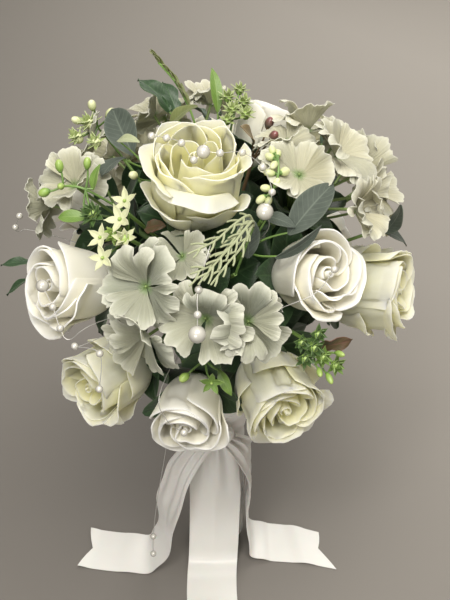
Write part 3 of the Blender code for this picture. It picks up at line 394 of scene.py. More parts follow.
# Skins of buds, eyes and twigs: colour at the foot and at the tip, roughness, and weight of a coat
SKINS = {
    "floret_eye": ((0.12, 0.20, 0.05), (0.27, 0.36, 0.13), 0.5),
    "green_twig": ((0.10, 0.19, 0.04), (0.22, 0.36, 0.09), 0.5),
    "brown_twig": ((0.10, 0.06, 0.03), (0.22, 0.14, 0.07), 0.6),
    "pale_bud": ((0.50, 0.56, 0.24), (0.78, 0.78, 0.52), 0.45),
    "green_bud": ((0.18, 0.32, 0.05), (0.42, 0.54, 0.16), 0.4),
    "burgundy_bud": ((0.05, 0.07, 0.05), (0.26, 0.07, 0.07), 0.3, 0.3),
}

# Leaves: two colours of the skin, that of the veins and the edge, and roughness
LEAVES = {
    "sage": ((0.028, 0.040, 0.029), (0.072, 0.090, 0.070), (0.15, 0.18, 0.14), 0.7),
    "pale_frond": ((0.27, 0.30, 0.16), (0.39, 0.42, 0.25), (0.52, 0.54, 0.37), 0.6),
    "star_petal": ((0.46, 0.48, 0.25), (0.62, 0.63, 0.41), (0.72, 0.73, 0.54), 0.6),
    "bright_leaf": ((0.07, 0.15, 0.018), (0.17, 0.27, 0.05), (0.27, 0.37, 0.12), 0.45),
    "fresh_leaf": ((0.20, 0.29, 0.07), (0.38, 0.44, 0.17), (0.50, 0.55, 0.30), 0.5),
    "deep_leaf": ((0.025, 0.06, 0.012), (0.07, 0.14, 0.03), (0.15, 0.23, 0.07), 0.45),
    "dark_leaf": ((0.010, 0.028, 0.010), (0.028, 0.070, 0.022), (0.07, 0.14, 0.05), 0.45),
    "olive": ((0.07, 0.09, 0.02), (0.17, 0.19, 0.06), (0.25, 0.27, 0.12), 0.5),
    "brown_leaf": ((0.09, 0.06, 0.02), (0.20, 0.15, 0.06), (0.28, 0.20, 0.10), 0.5),
    "red_leaf": ((0.05, 0.07, 0.02), (0.12, 0.045, 0.028), (0.18, 0.055, 0.04), 0.5),
}

# The finishes of each slot's sprays: leaves, twigs, buds, and the other leaves that a row can ask for
SPRAY_FINISHES = {
    "sage_leaf": ("sage", "green_twig", "pale_bud"),
    "pale_green_spray": ("pale_frond", "green_twig", "pale_bud", "fresh_leaf"),
    "yellow_green_flower": ("star_petal", "green_twig", "green_bud"),
    "bright_green_spray": ("bright_leaf", "green_twig", "green_bud", "red_leaf", "fresh_leaf", "deep_leaf"),
    "dark_green_leaf": ("dark_leaf", "green_twig", "green_bud"),
    "olive_leaf": ("olive", "green_twig", "green_bud"),
    "burgundy_berry": ("brown_leaf", "brown_twig", "burgundy_bud"),
    "red_edged_leaf": ("red_leaf", "green_twig", "green_bud"),
}
SHARP_ANGLE = 58

# Camera, and lamps with their place, size, power and colour
CAMERA_PLACE = Vector((0.0, -0.4915, 0.5891))
CAMERA_AHEAD = Vector((0.0110, 0.8096, -0.5869))
SENSOR = 36.0
IMAGE_HEIGHT = 600
FOCAL_PIXELS = 912
LAMPS = {
    "key": ((0.10, -0.50, 1.45), 0.8, 19.0, (1.0, 0.965, 0.90)),
    "glint": ((-0.30, -0.80, 1.30), 0.22, 4.0, (1.0, 0.98, 0.94)),
    "fill": ((-0.6, -1.8, 0.75), 0.9, 12.5, (1.0, 0.98, 0.95)),
    "back": ((0.5, 1.3, 1.2), 0.9, 9.0, (1.0, 0.97, 0.93)),
}
SKY_COLOUR = (1.0, 0.98, 0.95, 1.0)
SKY_STRENGTH = 0.45


# Places and curves


def direction(azimuth, elevation):
    """Unit vector out of the ball."""
    azimuth, elevation = math.radians(azimuth), math.radians(elevation)
    level = math.cos(elevation)
    return Vector((math.sin(azimuth) * level, -math.cos(azimuth) * level, math.sin(elevation)))


def on_ring(reach, turn, height=0.0):
    """A point at an angle in radians round Z."""
    return Vector((reach * math.cos(turn), reach * math.sin(turn), height))


def spot(azimuth, elevation, lift=0.0):
    """A point above the egg shaped surface of the head, or below it. The lift is in millimetres."""
    elevation_turn = math.radians(elevation)
    level, rise = math.cos(elevation_turn) / HEAD_ACROSS, math.sin(elevation_turn) / HEAD_UP
    return BALL_CENTRE + direction(azimuth, elevation) * (1 / math.hypot(level, rise) + lift * MM)


def spun(angle, axis="Z"):
    """Matrix of a turn about an axis."""
    return Matrix.Rotation(math.radians(angle), 4, axis)


def swung(vector, angle, axis):
    """A vector turned about another one."""
    return Matrix.Rotation(math.radians(angle), 3, axis) @ vector


def along_z(axis):
    """Matrix that turns Z to an axis."""
    return axis.to_track_quat("Z", "Y").to_matrix().to_4x4()


def placed(azimuth, elevation, reach, twist=0.0):
    """Matrix of a frame on the ball: Z out, X to the viewer's right, Y up, then turned about Z."""
    out = direction(azimuth, elevation)
    right = on_ring(1.0, math.radians(azimuth))
    axes = Matrix((right, out.cross(right), out)).transposed().to_4x4()
    return Matrix.Translation(BALL_CENTRE + out * reach) @ axes @ spun(twist)


def leaning(lean_right, lean_up):
    """Matrix that leans a bloom's axis to the right and up."""
    return spun(lean_right, "Y") @ spun(-lean_up, "X")


def rose_frame(kind, azimuth, elevation, reach, radius, lean_right, lean_up, twist):
    """Matrix of a rose's frame, whose origin is its foot: it leans about its eye."""
    down = Matrix.Translation((0, 0, -ROSE_HEIGHT[kind] * radius * MM))
    return placed(azimuth, elevation, reach * MM) @ leaning(lean_right, lean_up) @ spun(twist) @ down


def smooth(x):
    """0 below 0, 1 above 1 and an S between them."""
    x = min(max(x, 0.0), 1.0)
    return x * x * (3 - 2 * x)


def read(pairs, share):
    """A value at a share, from pairs of share and value."""
    for (low, first), (high, second) in zip(pairs, pairs[1:]):
        if share <= high:
            return first + (second - first) * (share - low) / (high - low)
    return pairs[-1][1]


def flowing(points, steps):
    """A smooth run through points or numbers, with this many steps from each to the next."""
    run = []
    for k in range(len(points) - 1):
        before, start = points[max(k - 1, 0)], points[k]
        end, after = points[k + 1], points[min(k + 2, len(points) - 1)]
        for step in range(steps):
            t = step / steps
            straight = (end - before) * t
            bend = (before * 2 - start * 5 + end * 4 - after) * t**2
            twist = (start * 3 - before - end * 3 + after) * t**3
            run.append((start * 2 + straight + bend + twist) * 0.5)
    return run + [points[-1]]


def step_at(run, k):
    """The step from the point before to the point after the k-th one of a run."""
    return run[min(k + 1, len(run) - 1)] - run[max(k - 1, 0)]


def length_of(run):
    """The length of a run of points."""
    return sum((b - a).length for a, b in zip(run, run[1:]))


def tapering(run, radius, loss=0.0):
    """A radius for each point of a run, which loses this much towards its end."""
    return [radius - loss * k / len(run) for k in range(len(run))]


# Shapes: points, faces, and each point's place on its petal or leaf, which the materials read


class Piece:
    """A mesh under construction, made of shapes with their own materials."""

    def __init__(self):
        self.points, self.faces, self.marks, self.slots = [], [], [], []

    def add(self, shape, slot=0, shade=0.0, matrix=None):
        """Add a shape. Its marks get a third number, the shade."""
        points, faces, marks = shape
        first = len(self.points)
        self.points += [matrix @ p for p in points] if matrix else points
        self.faces += [tuple(first + k for k in face) for face in faces]
        self.marks += [(across, along, shade) for across, along in marks]
        self.slots += [slot] * len(faces)

    def make(self, name, nodes, slot, finishes, matrix=None):
        """The finished object, which stands for its CAD nodes."""
        if matrix:
            self.points = [matrix @ p for p in self.points]
        mesh = bpy.data.meshes.new(name)
        mesh.from_pydata(self.points, [], self.faces)
        mesh.polygons.foreach_set("material_index", self.slots)
        marks = mesh.attributes.new("petal", "FLOAT_VECTOR", "POINT")
        marks.data.foreach_set("vector", [number for mark in self.marks for number in mark])
        made = bmesh.new()
        made.from_mesh(mesh)
        bmesh.ops.recalc_face_normals(made, faces=made.faces)
        made.to_mesh(mesh)
        made.free()
        mesh.shade_smooth()
        mesh.set_sharp_from_angle(angle=math.radians(SHARP_ANGLE))
        for finish in finishes:
            mesh.materials.append(finish)
        obj = linked(name, mesh)
        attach(obj, "root")
        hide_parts(*nodes)
        return obj


def linked(name, data):
    """A new object in the scene."""
    obj = bpy.data.objects.new(name, data)
    bpy.context.scene.collection.objects.link(obj)
    return obj


def grid_of(columns, rows, point):
    """A grid of points, columns of rows, from a function of the shares across and along."""
    return [[point(i / (columns - 1), j / (rows - 1)) for j in range(rows)] for i in range(columns)]


def shell(grid, thickness):
    """A thin closed sheet about a grid of points."""
    columns, rows = len(grid), len(grid[0])
    front, back, marks, faces = [], [], [], []
    for i in range(columns):
        for j in range(rows):
            across = grid[min(i + 1, columns - 1)][j] - grid[max(i - 1, 0)][j]
            normal = across.cross(step_at(grid[i], j)).normalized()
            front.append(grid[i][j] + normal * (thickness / 2))
            back.append(grid[i][j] - normal * (thickness / 2))
            marks.append((2 * i / (columns - 1) - 1, j / (rows - 1)))
    half = columns * rows
    for i in range(columns - 1):
        for j in range(rows - 1):
            a, b = i * rows + j, (i + 1) * rows + j
            faces.append((a, b, b + 1, a + 1))
            faces.append((half + a + 1, half + b + 1, half + b, half + a))
    rim = [i * rows for i in range(columns)]
    rim += [(columns - 1) * rows + j for j in range(1, rows)]
    rim += [i * rows + rows - 1 for i in range(columns - 2, -1, -1)]
    rim += [j for j in range(rows - 2, 0, -1)]
    faces += [(b, a, half + a, half + b) for a, b in zip(rim, rim[1:] + rim[:1])]
    return front + back, faces, marks * 2


def ring_faces(rings, sides):
    """The faces of a body of rings of points: its two ends, and its wall."""
    faces = [tuple(reversed(range(sides))), tuple(range((rings - 1) * sides, rings * sides))]
    for k in range(rings - 1):
        for s in range(sides):
            a, b = k * sides + s, k * sides + (s + 1) % sides
            faces.append((a, b, b + sides, a + sides))
    return faces


def tube(run, radii, sides=8):
    """A closed tube through points, with a radius at each."""
    points, marks = [], []
    side = (run[1] - run[0]).orthogonal().normalized()
    for k, middle in enumerate(run):
        ahead = step_at(run, k).normalized()
        side = (side - ahead * side.dot(ahead)).normalized()
        other = ahead.cross(side)
        for s in range(sides):
            turn = 2 * math.pi * s / sides
            points.append(middle + (side * math.cos(turn) + other * math.sin(turn)) * radii[k])
            marks.append((math.cos(turn), k / (len(run) - 1)))
    return points, ring_faces(len(run), sides), marks


def turned(profile, sides, centre, axis, ribs=0, rib_depth=0.0):
    """A closed round shape from radii and heights along an axis, with ribs round it if asked."""
    turn_frame = Matrix.Translation(centre) @ along_z(axis)
    points, marks = [], []
    for k, (radius, height) in enumerate(profile):
        for s in range(sides):
            turn = 2 * math.pi * s / sides
            reach = radius * (1 + rib_depth * math.cos(ribs * turn))
            points.append(turn_frame @ on_ring(reach, turn, height))
            marks.append((math.cos(turn), k / (len(profile) - 1)))
    return points, ring_faces(len(profile), sides), marks


def egg(centre, radius, half_length, axis, sides=16, rings=10, ribs=0, rib_depth=0.0):
    """An egg along an axis."""
    profile = []
    for k in range(rings + 1):
        turn = math.pi * (0.02 + 0.96 * k / rings)
        profile.append((radius * math.sin(turn), -half_length * math.cos(turn)))
    return turned(profile, sides, centre, axis, ribs, rib_depth)


# Materials


class Paint:
    """A Principled material under construction, whose steps are nodes."""

    def __init__(self, name, roughness, **constants):
        """Constants are set on the shader's own sockets."""
        self.made = bpy.data.materials.new(name)
        self.made.use_nodes = True
        self.tree = self.made.node_tree
        self.shader = self.tree.nodes["Principled BSDF"]
        self.shader.inputs["Roughness"].default_value = roughness
        for key, value in constants.items():
            socket = key.replace("_", " ").title().replace("Ior", "IOR")
            self.shader.inputs[socket].default_value = value

    def node(self, kind, inputs=(), **settings):
        """A node with its settings, and its inputs linked or set. A tuple is a colour."""
        made = self.tree.nodes.new(kind)
        for key, value in settings.items():
            setattr(made, key, value)
        for key, value in dict(inputs).items():
            if isinstance(value, bpy.types.NodeSocket):
                self.tree.links.new(value, made.inputs[key])
            else:
                made.inputs[key].default_value = (*value, 1.0) if isinstance(value, tuple) else value
        return made

    def calc(self, operation, first, second=0.0, clamp=False):
        """The output of one step of arithmetic."""
        inputs = {0: first, 1: second}
        return self.node("ShaderNodeMath", inputs, operation=operation, use_clamp=clamp).outputs[0]

    def times(self, value, factor):
        """A value times a factor."""
        return self.calc("MULTIPLY", value, factor)

    def power(self, value, exponent):
        """A value to a power."""
        return self.calc("POWER", value, exponent)

    def fade(self, value, rate):
        """1 where a value is 0, falling to 0 at this rate."""
        return self.calc("SUBTRACT", 1.0, self.times(value, rate), clamp=True)

    def split(self, vector):
        """The three numbers of a vector."""
        return self.node("ShaderNodeSeparateXYZ", {0: vector}).outputs

    def marks(self):
        """The place on a petal: across from -1 to 1, along from 0 to 1, and its shade."""
        return self.split(self.node("ShaderNodeAttribute", attribute_name="petal").outputs["Vector"])

    def place(self):
        """The place in the bouquet."""
        return self.node("ShaderNodeTexCoord").outputs["Object"]

    def blend(self, share, first, second):
        """A colour between two, by a share."""
        inputs = {0: share, 6: first, 7: second}
        return self.node("ShaderNodeMix", inputs, data_type="RGBA", clamp_factor=True).outputs[2]

    def grain(self, scale, detail=3.0, vector=None):
        """Noise between 0 and 1 over the bouquet, or over the given coordinates."""
        inputs = {"Vector": vector or self.place(), "Scale": scale, "Detail": detail}
        return self.node("ShaderNodeTexNoise", inputs).outputs["Fac"]

    def stretched(self, across, along, wide, long):
        """Noise drawn out along a petal: wide and long are its scales across and along."""
        parts = {0: self.times(across, wide), 1: self.times(along, long)}
        return self.grain(1.0, 2.0, self.node("ShaderNodeCombineXYZ", parts).outputs[0])

    def finish(self, body, relief=None, strength=0.0, distance=0.0):
        """The material with its colour, and with relief if it has any."""
        self.tree.links.new(body, self.shader.inputs["Base Color"])
        if relief:
            inputs = {"Height": relief, "Strength": strength, "Distance": distance}
            bump = self.node("ShaderNodeBump", inputs)
            self.tree.links.new(bump.outputs[0], self.shader.inputs["Normal"])
        return self.made


def silk_petal():
    """Cream silk: lemon in the heart, with fine fibres. Toward each petal's foot a green tint with painted
    shade, and a painted highlight along its rim.
    """
    paint = Paint("cream_silk", 0.62, sheen_weight=0.15, subsurface_weight=0.7,
                  subsurface_scale=0.006, subsurface_radius=(1.0, 0.95, 0.6))
    across, along, shade = paint.marks()
    body = paint.blend(paint.power(shade, 1.1), (0.87, 0.845, 0.54), (0.98, 0.94, 0.46))
    # Painted shade with a green tint: darker olive toward each petal's foot, low in the cup.
    body = paint.blend(paint.fade(along, 1.6), body, (0.66, 0.65, 0.28))
    # Painted highlight: lighter along the rim of each petal.
    body = paint.blend(paint.times(paint.power(along, 9.0), 0.55), body, (0.92, 0.91, 0.80))
    fibres = paint.stretched(across, along, 26.0, 2.5)
    body = paint.blend(paint.times(fibres, 0.16), body, (0.70, 0.66, 0.42))
    weave = paint.calc("ADD", fibres, paint.times(paint.grain(2600.0), 0.4))
    return paint.finish(body, weave, 0.18, 0.0005)


def foam_petal():
    """White foam sheet: warm white with a fine grain, painted shade toward each petal's foot and a painted
    highlight along its rim.
    """
    paint = Paint("white_foam", 0.55, sheen_weight=0.1, subsurface_weight=0.5,
                  subsurface_scale=0.004, subsurface_radius=(1.0, 0.97, 0.85))
    _, along, shade = paint.marks()
    body = paint.blend(shade, (0.83, 0.80, 0.66), (0.88, 0.84, 0.67))
    # Painted shade: darker toward each petal's foot, deep in the cup.
    body = paint.blend(paint.fade(along, 2.2), body, (0.66, 0.63, 0.50))
    # Painted highlight: lighter along the rim of each petal.
    body = paint.blend(paint.power(along, 14.0), body, (0.94, 0.93, 0.88))
    body = paint.blend(paint.times(paint.grain(60.0), 0.14), body, (0.72, 0.70, 0.62))
    return paint.finish(body, paint.grain(1500.0, 4.0), 0.10, 0.0003)


def floret_petal():
    """Pale sage white silk with ribs that fan out: grey green to cream by each head's tone and painted
    shade, green with painted shade near the eye, and a painted highlight along the rim.
    """
    paint = Paint("white_floret_silk", 0.72, sheen_weight=0.12, subsurface_weight=0.35,
                  subsurface_scale=0.0025, subsurface_radius=(1.0, 1.0, 0.8))
    across, along, shade = paint.marks()
    # Grey green to cream by the mark that mixes each head's tone with painted shade.
    body = paint.blend(shade, (0.245, 0.258, 0.20), (0.65, 0.60, 0.41))
    ribs = paint.stretched(across, along, 15.0, 1.0)
    body = paint.blend(paint.times(ribs, 0.55), body, (0.17, 0.195, 0.14))
    # A green eye, darkened further as painted shade deep between the petals.
    body = paint.blend(paint.fade(along, 4.6), body, (0.16, 0.27, 0.08))
    # Painted highlight: lighter along the rim of each petal.
    body = paint.blend(paint.times(paint.power(along, 7.0), 0.8), body, (0.68, 0.68, 0.56))
    return paint.finish(body, ribs, 0.6, 0.0012)


def leaf_finish(name, dark, light, edge, roughness):
    """A leaf with mottled skin, a pale rib, side veins and a paler edge."""
    paint = Paint(name, roughness, sheen_weight=0.08)
    across, along, _ = paint.marks()
    wide = paint.calc("ABSOLUTE", across)
    body = paint.blend(paint.grain(240.0, 5.0), dark, light)
    slant = paint.calc("SUBTRACT", paint.times(along, 9.0), paint.times(wide, 2.2))
    veins = paint.fade(paint.calc("PINGPONG", slant, 0.5), 9.0)
    lines = paint.calc("MAXIMUM", paint.times(veins, 0.30), paint.times(paint.fade(wide, 11.0), 0.6))
    body = paint.blend(lines, body, edge)
    body = paint.blend(paint.times(paint.power(wide, 14.0), 0.5), body, edge)
    relief = paint.calc("SUBTRACT", paint.times(paint.grain(700.0), 0.5), lines)
    return paint.finish(body, relief, 0.35, 0.0006)


def skin_finish(name, low, high, roughness, coat=0.0):
    """The skin of a bud, berry or twig: one colour at its foot and another at its tip, finely mottled."""
    paint = Paint(name, roughness, coat_weight=coat)
    _, along, _ = paint.marks()
    body = paint.blend(paint.power(along, 1.3), low, high)
    body = paint.blend(paint.times(paint.grain(900.0), 0.25), body, tuple(0.6 * c for c in low))
    return paint.finish(body, paint.grain(1400.0), 0.2, 0.0003)


def pearl_finish():
    """Pearl: glossy coat over warm white, with painted shade that darkens it toward its outline."""
    paint = Paint("pearl", 0.25, coat_weight=1.0, coat_roughness=0.10, coat_ior=1.8, specular_ior_level=0.7)
    # Painted shade: darker where the surface turns away from the view.
    edge = paint.node("ShaderNodeLayerWeight", {"Blend": 0.35}).outputs["Facing"]
    body = paint.blend(edge, (0.58, 0.565, 0.51), (0.26, 0.25, 0.22))
    body = paint.blend(paint.times(paint.grain(320.0), 0.15), body, (0.58, 0.53, 0.44))
    return paint.finish(body, paint.grain(900.0), 0.04, 0.0002)


def wire_finish():
    """Thin silvery wire."""
    paint = Paint("silver_wire", 0.5, metallic=0.5)
    return paint.finish(paint.blend(paint.grain(1500.0), (0.46, 0.45, 0.42), (0.58, 0.57, 0.54)))


def satin_finish():
    """White satin: a fine twill and sheen, with painted shade along its edges."""
    paint = Paint("white_satin", 0.36, sheen_weight=0.35, sheen_roughness=0.35, anisotropic=0.4,
                  specular_ior_level=0.55, subsurface_weight=0.1, subsurface_scale=0.001)
    across, along, _ = paint.marks()
    body = paint.blend(paint.grain(35.0), (0.80, 0.78, 0.74), (0.86, 0.84, 0.80))
    # Painted shade: darker along the edges of the ribbon.
    painted_edge_shade = paint.power(paint.calc("ABSOLUTE", across), 40.0)
    body = paint.blend(paint.times(painted_edge_shade, 0.4), body, (0.70, 0.68, 0.64))
    return paint.finish(body, paint.stretched(across, along, 150.0, 12.0), 0.10, 0.0003)


def stem_finish():
    """Green covered wire and stems, with long fibres."""
    paint = Paint("stem_skin", 0.6)
    across, along, _ = paint.marks()
    body = paint.blend(paint.stretched(across, along, 9.0, 6.0), (0.07, 0.13, 0.04), (0.20, 0.30, 0.10))
    return paint.finish(body, paint.stretched(across, along, 12.0, 40.0), 0.3, 0.0005)


def cut_finish():
    """The pale cut end of a stem, with rings of fibres."""
    paint = Paint("cut_stem", 0.75)
    body = paint.blend(paint.grain(900.0, 5.0), (0.38, 0.36, 0.20), (0.62, 0.58, 0.38))
    return paint.finish(body, paint.grain(1300.0), 0.4, 0.0004)


# Roses


def petal_shares(layer):
    """Where the rows of a petal lie along its length: close together in the fold of its lip."""
    below, fold, beyond = PETAL_ROWS
    fold_end = layer.lip_start + layer.lip_span
    shares = [layer.lip_start * k / below for k in range(below)]
    shares += [layer.lip_start + layer.lip_span * k / fold for k in range(fold)]
    return shares + [fold_end + (1 - fold_end) * k / beyond for k in range(beyond + 1)]


def petal(radius, layer, middle, low, rng):
    """The grid of a rose petal. Its rim folds out more the lower it hangs; one side lies over the next."""
    phase = rng.uniform(0, 2 * math.pi)
    lip_side = rng.uniform(-0.35, 0.35)
    lip_share = (0.10 + 0.94 * low**3) * rng.uniform(0.85, 1.1)
    seed = Vector((rng.uniform(0, 50), rng.uniform(0, 50), 0))
    shares = petal_shares(layer)
    grid = []
    for i in range(PETAL_COLUMNS):
        across = 2 * i / (PETAL_COLUMNS - 1) - 1
        uneven = noise.noise(seed + Vector((3 * across, 0, 0)))
        ripple = layer.wave * (math.sin(5 * across + phase) + 1.5 * uneven)
        length = radius * layer.length * (1 - layer.round * abs(across) ** 3.5 + 0.5 * ripple)
        lip = layer.lip * lip_share * (1 + lip_side * across) * (1 - 0.3 * across**2)
        flutter = LIP_FLUTTER * lip_share * noise.noise(seed + Vector((2.5 * across, 9, 0)))
        reach, rise = radius * layer.root[0], radius * layer.root[1]
        column = []
        for j, share in enumerate(shares):
            if j:
                step, halfway = share - shares[j - 1], (share + shares[j - 1]) / 2
                folded = smooth((halfway - layer.lip_start) / layer.lip_span)
                heading = math.radians(read(layer.headings, halfway) - (lip + flutter) * folded)
                reach += math.cos(heading) * length * step
                rise += math.sin(heading) * length * step
            wide = layer.half * (ROOT_WIDTH + (1 - ROOT_WIDTH) * smooth(share / 0.5))
            out = reach * (1 + layer.flat * (1 / math.cos(math.radians(0.7 * wide * across)) - 1))
            out += radius * share * (layer.swirl * across + ripple * share)
            column.append(on_ring(out, math.radians(middle + wide * across), rise))
        grid.append(column)
    return grid


def heart_roll(radius, height, outer):
    """The grid of the rolled petal in a rose's heart."""
    def point(share, up):
        reach = radius * outer * (0.12 + 0.88 * share) * (1.0 - 0.34 * up**2)
        rise = height * (0.45 + (0.55 - 0.07 * share) * up)
        return on_ring(reach, 2 * math.pi * HEART_TURNS * share, rise)

    return grid_of(*HEART_GRID, point)


def rose(finishes, name, kind, azimuth, elevation, reach, radius, *turns):
    """A whole rose: layers of petals about a rolled heart."""
    rng = random.Random(name)
    full = FULLNESS.get(name, 1.0)
    wider = Matrix.Diagonal((full, full, 1.0, 1.0))
    matrix = rose_frame(kind, azimuth, elevation, reach, radius, *turns) @ wider
    radius *= MM
    layers = ROSE_LAYERS[kind]
    piece = Piece()
    for depth, layer in enumerate(layers):
        for k in range(layer.count):
            middle = layer.first + 360 * k / layer.count + rng.uniform(-5, 5)
            low = 0.5 - 0.5 * math.sin(math.radians(middle + turns[-1]))
            grid = petal(radius, layer, middle, low, rng)
            piece.add(shell(grid, ROSE_THICKNESS[kind]), shade=depth / len(layers))
    roll = heart_roll(radius, ROSE_HEIGHT[kind] * radius, HEART_RADIUS[kind])
    piece.add(shell(roll, ROSE_THICKNESS[kind]), shade=1.0)
    piece.make(name + "_petals", [name], ROSE_SLOT[kind], [finishes[kind]], matrix)


# Hydrangeas


def fan(radius, rng):
    """The grid of one floret petal: folds run out from the eye to the notches between its rounded lobes."""
    notches = [rng.uniform(-0.72, -0.30), rng.uniform(0.26, 0.70)]
    if rng.random() < 0.5:
        notches.append(rng.uniform(-0.12, 0.12))
    cupped, rolled = rng.uniform(0.16, 0.56), rng.uniform(0.06, 0.34)
    ruffle, wander = rng.uniform(0.03, 0.07), rng.uniform(0, 2 * math.pi)
    seed = Vector((rng.uniform(0, 50), rng.uniform(0, 50), 0))
    grid = []
    for i in range(FAN_COLUMNS):
        across = 2 * i / (FAN_COLUMNS - 1) - 1
        clear = min([abs(across - notch) for notch in notches] + [1.10 - abs(across)])
        lobe = math.sin(math.pi / 2 * min(clear / 0.26, 1.0)) ** 0.7
        uneven = noise.noise(seed + Vector((2 * across, 0, 0)))
        fine = noise.noise(seed + Vector((14 * across, 5, 0)))
        scallop = abs(math.sin(8.5 * across + wander))
        reach = radius * (0.82 - 0.10 * abs(across) ** 4 + 0.16 * lobe + 0.10 * uneven)
        reach += radius * (0.04 * scallop + 0.03 * fine)
        column = []
        for j in range(FAN_ROWS):
            share = j / (FAN_ROWS - 1)
            turn = math.radians(FAN_HALF * across * (0.8 + 0.2 * smooth(1.5 * share)))
            out = 0.04 * radius + (reach - 0.04 * radius) * share
            rise = cupped * share**1.4 + FAN_TILT * across * share - rolled * share**5 * (0.4 + lobe)
            rise += 0.07 * lobe * share**1.5 + (0.03 * fine + 0.035 * scallop) * share**3
            rise += ruffle * share**3 * math.sin(6 * across + wander)
            column.append(on_ring(out, turn, radius * rise))
        grid.append(column)
    return grid


def floret(piece, rng, tone_and_shade, right, up, out, radius, lean_right, lean_up, twist):
    """One floret: fan shaped petals that overlap, a green eye with stamens, and its pedicel."""
    radius *= MM
    place = Matrix.Translation(Vector((right, up, out)) * MM) @ leaning(lean_right, lean_up) @ spun(twist)
    for k in range(FLORET_PETALS):
        turn = spun(360 * (k + 0.5) / FLORET_PETALS + rng.uniform(-12, 12))
        grid = fan(radius * rng.uniform(0.86, 1.08), rng)
        raised = spun(rng.uniform(-28, 12), "Y")
        rocked = spun(rng.uniform(-28, 28), "X")
        # The petal's tone and painted shade, varied at random
        shade = tone_and_shade + rng.uniform(-0.2, 0.2)
        piece.add(shell(grid, FLORET_THICKNESS), shade=shade, matrix=place @ turn @ raised @ rocked)
    piece.add(egg(UP * (0.03 * radius), 0.035 * radius, 0.06 * radius, UP), slot=1, matrix=place)
    for k in range(STAMENS):
        tip = on_ring(0.07, 2 * math.pi * k / STAMENS, 0.13) * radius
        piece.add(tube([Vector((0, 0, 0)), tip], [0.00022, 0.00014], 5), slot=1, matrix=place)
    foot = UP * -HEAD_DEPTH
    run = flowing([foot, (foot + place.translation) / 2 * 1.02, place.translation], 6)
    piece.add(tube(run, tapering(run, PEDICEL_RADIUS)), slot=1)


def hydrangea(name, azimuth, elevation, reach, florets, finishes):
    """A head of florets whose pedicels meet at its foot."""
    rng = random.Random(name)
    piece = Piece()
    for spec in florets + MORE_FLORETS.get(name, ()):
        floret(piece, rng, HEAD_TONE_AND_SHADE.get(name, OTHER_TONE_AND_SHADE), *spec)
    matrix = placed(azimuth, elevation, reach * MM)
    piece.make(name + "_florets", [name], "white_silk_floret", finishes, matrix)


# Sprays of leaves, buds and small flowers


def nearest(joints, place):
    """The joint of a spray that is nearest to a place."""
    return min(joints, key=lambda joint: (joint - place).length)


def stalk(piece, joints, place):
    """A thin curved twig to a place from the nearest joint of its spray."""
    start = nearest(joints, place)
    aside = (place - start).orthogonal().normalized() * (0.06 * (place - start).length)
    run = flowing([start, (start + place) / 2 + aside, place], 5)
    piece.add(tube(run, tapering(run, 1.2 * TWIG_RADIUS, 0.5 * TWIG_RADIUS), 6), slot=1)


def twig(piece, joints, rng, *spots):
    """A thin twig from the nearest joint through spots, whose places other pieces can grow from."""
    places = [spot(*place) for place in spots]
    run = flowing([nearest(joints, places[0])] + places, 6)
    piece.add(tube(run, tapering(run, 1.2 * TWIG_RADIUS), 6), slot=1)
    joints += places


def leaf_grid(base, tip, width, outline, roll, curl=0.0):
    """The grid of a leaf, arched along its length and folded along its rib."""
    along = tip - base
    side = along.cross((base + tip) / 2 - BALL_CENTRE).normalized()
    side, normal = swung(side, roll, along), swung(side.cross(along).normalized(), roll, along)
    shares, halves = zip(*LEAF_OUTLINES[outline])
    pairs = list(zip(flowing(shares, 8), flowing(halves, 8)))

    def point(across, share):
        across = 2 * across - 1
        reach = max(read(pairs, share), 0.02) * width / 2
        rise = LEAF_ARCH * along.length * 4 * share * (1 - share)
        rise += LEAF_FOLD * reach * abs(across) ** 1.4
        rise += curl * width * math.sin(9 * share + 2 * across) * abs(across)
        return base + along * share + normal * rise + side * (across * reach)

    return grid_of(LEAF_COLUMNS, LEAF_ROWS, point)


def leaf(piece, joints, rng, base_spot, tip_spot, width, outline, roll, slot=0):
    """A leaf with its stalk."""
    base, tip = spot(*base_spot), spot(*tip_spot)
    stalk(piece, joints, base + (tip - base) * 0.06)
    curl = 0.10 if outline == "waved" else 0.03
    piece.add(shell(leaf_grid(base, tip, width * MM, outline, roll, curl), LEAF_THICKNESS), slot=slot)


def bud(piece, joints, rng, place_spot, radius, half_length):
    """An egg shaped bud or berry with small ribs, and its cup, at the end of a stalk."""
    radius, half_length = radius * MM, half_length * MM
    place = spot(*place_spot)
    axis = (place - nearest(joints, place)).normalized()
    stalk(piece, joints, place)
    piece.add(egg(place, radius, half_length, axis, ribs=5, rib_depth=0.05), slot=2)
    piece.add(egg(place - axis * (0.75 * half_length), 0.6 * radius, 0.4 * half_length, axis), slot=1)


def narrow_petal(radius, half_width, rise):
    """The grid of a narrow pointed petal or leaf along X, hollowed along its middle."""
    def point(across, share):
        across = 2 * across - 1
        wide = half_width * (0.3 + 0.7 * math.sin(math.pi * min(share + 0.12, 1.0)) ** 0.8)
        wide *= 1 - share**6
        lift = rise * radius * share**1.5 + 0.25 * wide * abs(across)
        return Vector((radius * (0.05 + 0.95 * share), across * max(wide, 0.02 * half_width), lift))

    return grid_of(5, 9, point)


def star(piece, joints, rng, place_spot, radius):
    """A small flower of narrow pointed petals, facing out."""
    radius *= MM
    place = spot(*place_spot)
    stalk(piece, joints, place)
    matrix = placed(*place_spot[:2], (place - BALL_CENTRE).length, rng.uniform(0, 72))
    for k in range(STAR_PETALS):
        grid = narrow_petal(radius, 0.24 * radius, rng.uniform(0.22, 0.45))
        piece.add(shell(grid, LEAF_THICKNESS), matrix=matrix @ spun(360 * k / STAR_PETALS))
    piece.add(egg(UP * (0.10 * radius), 0.12 * radius, 0.16 * radius, UP), slot=2, matrix=matrix)


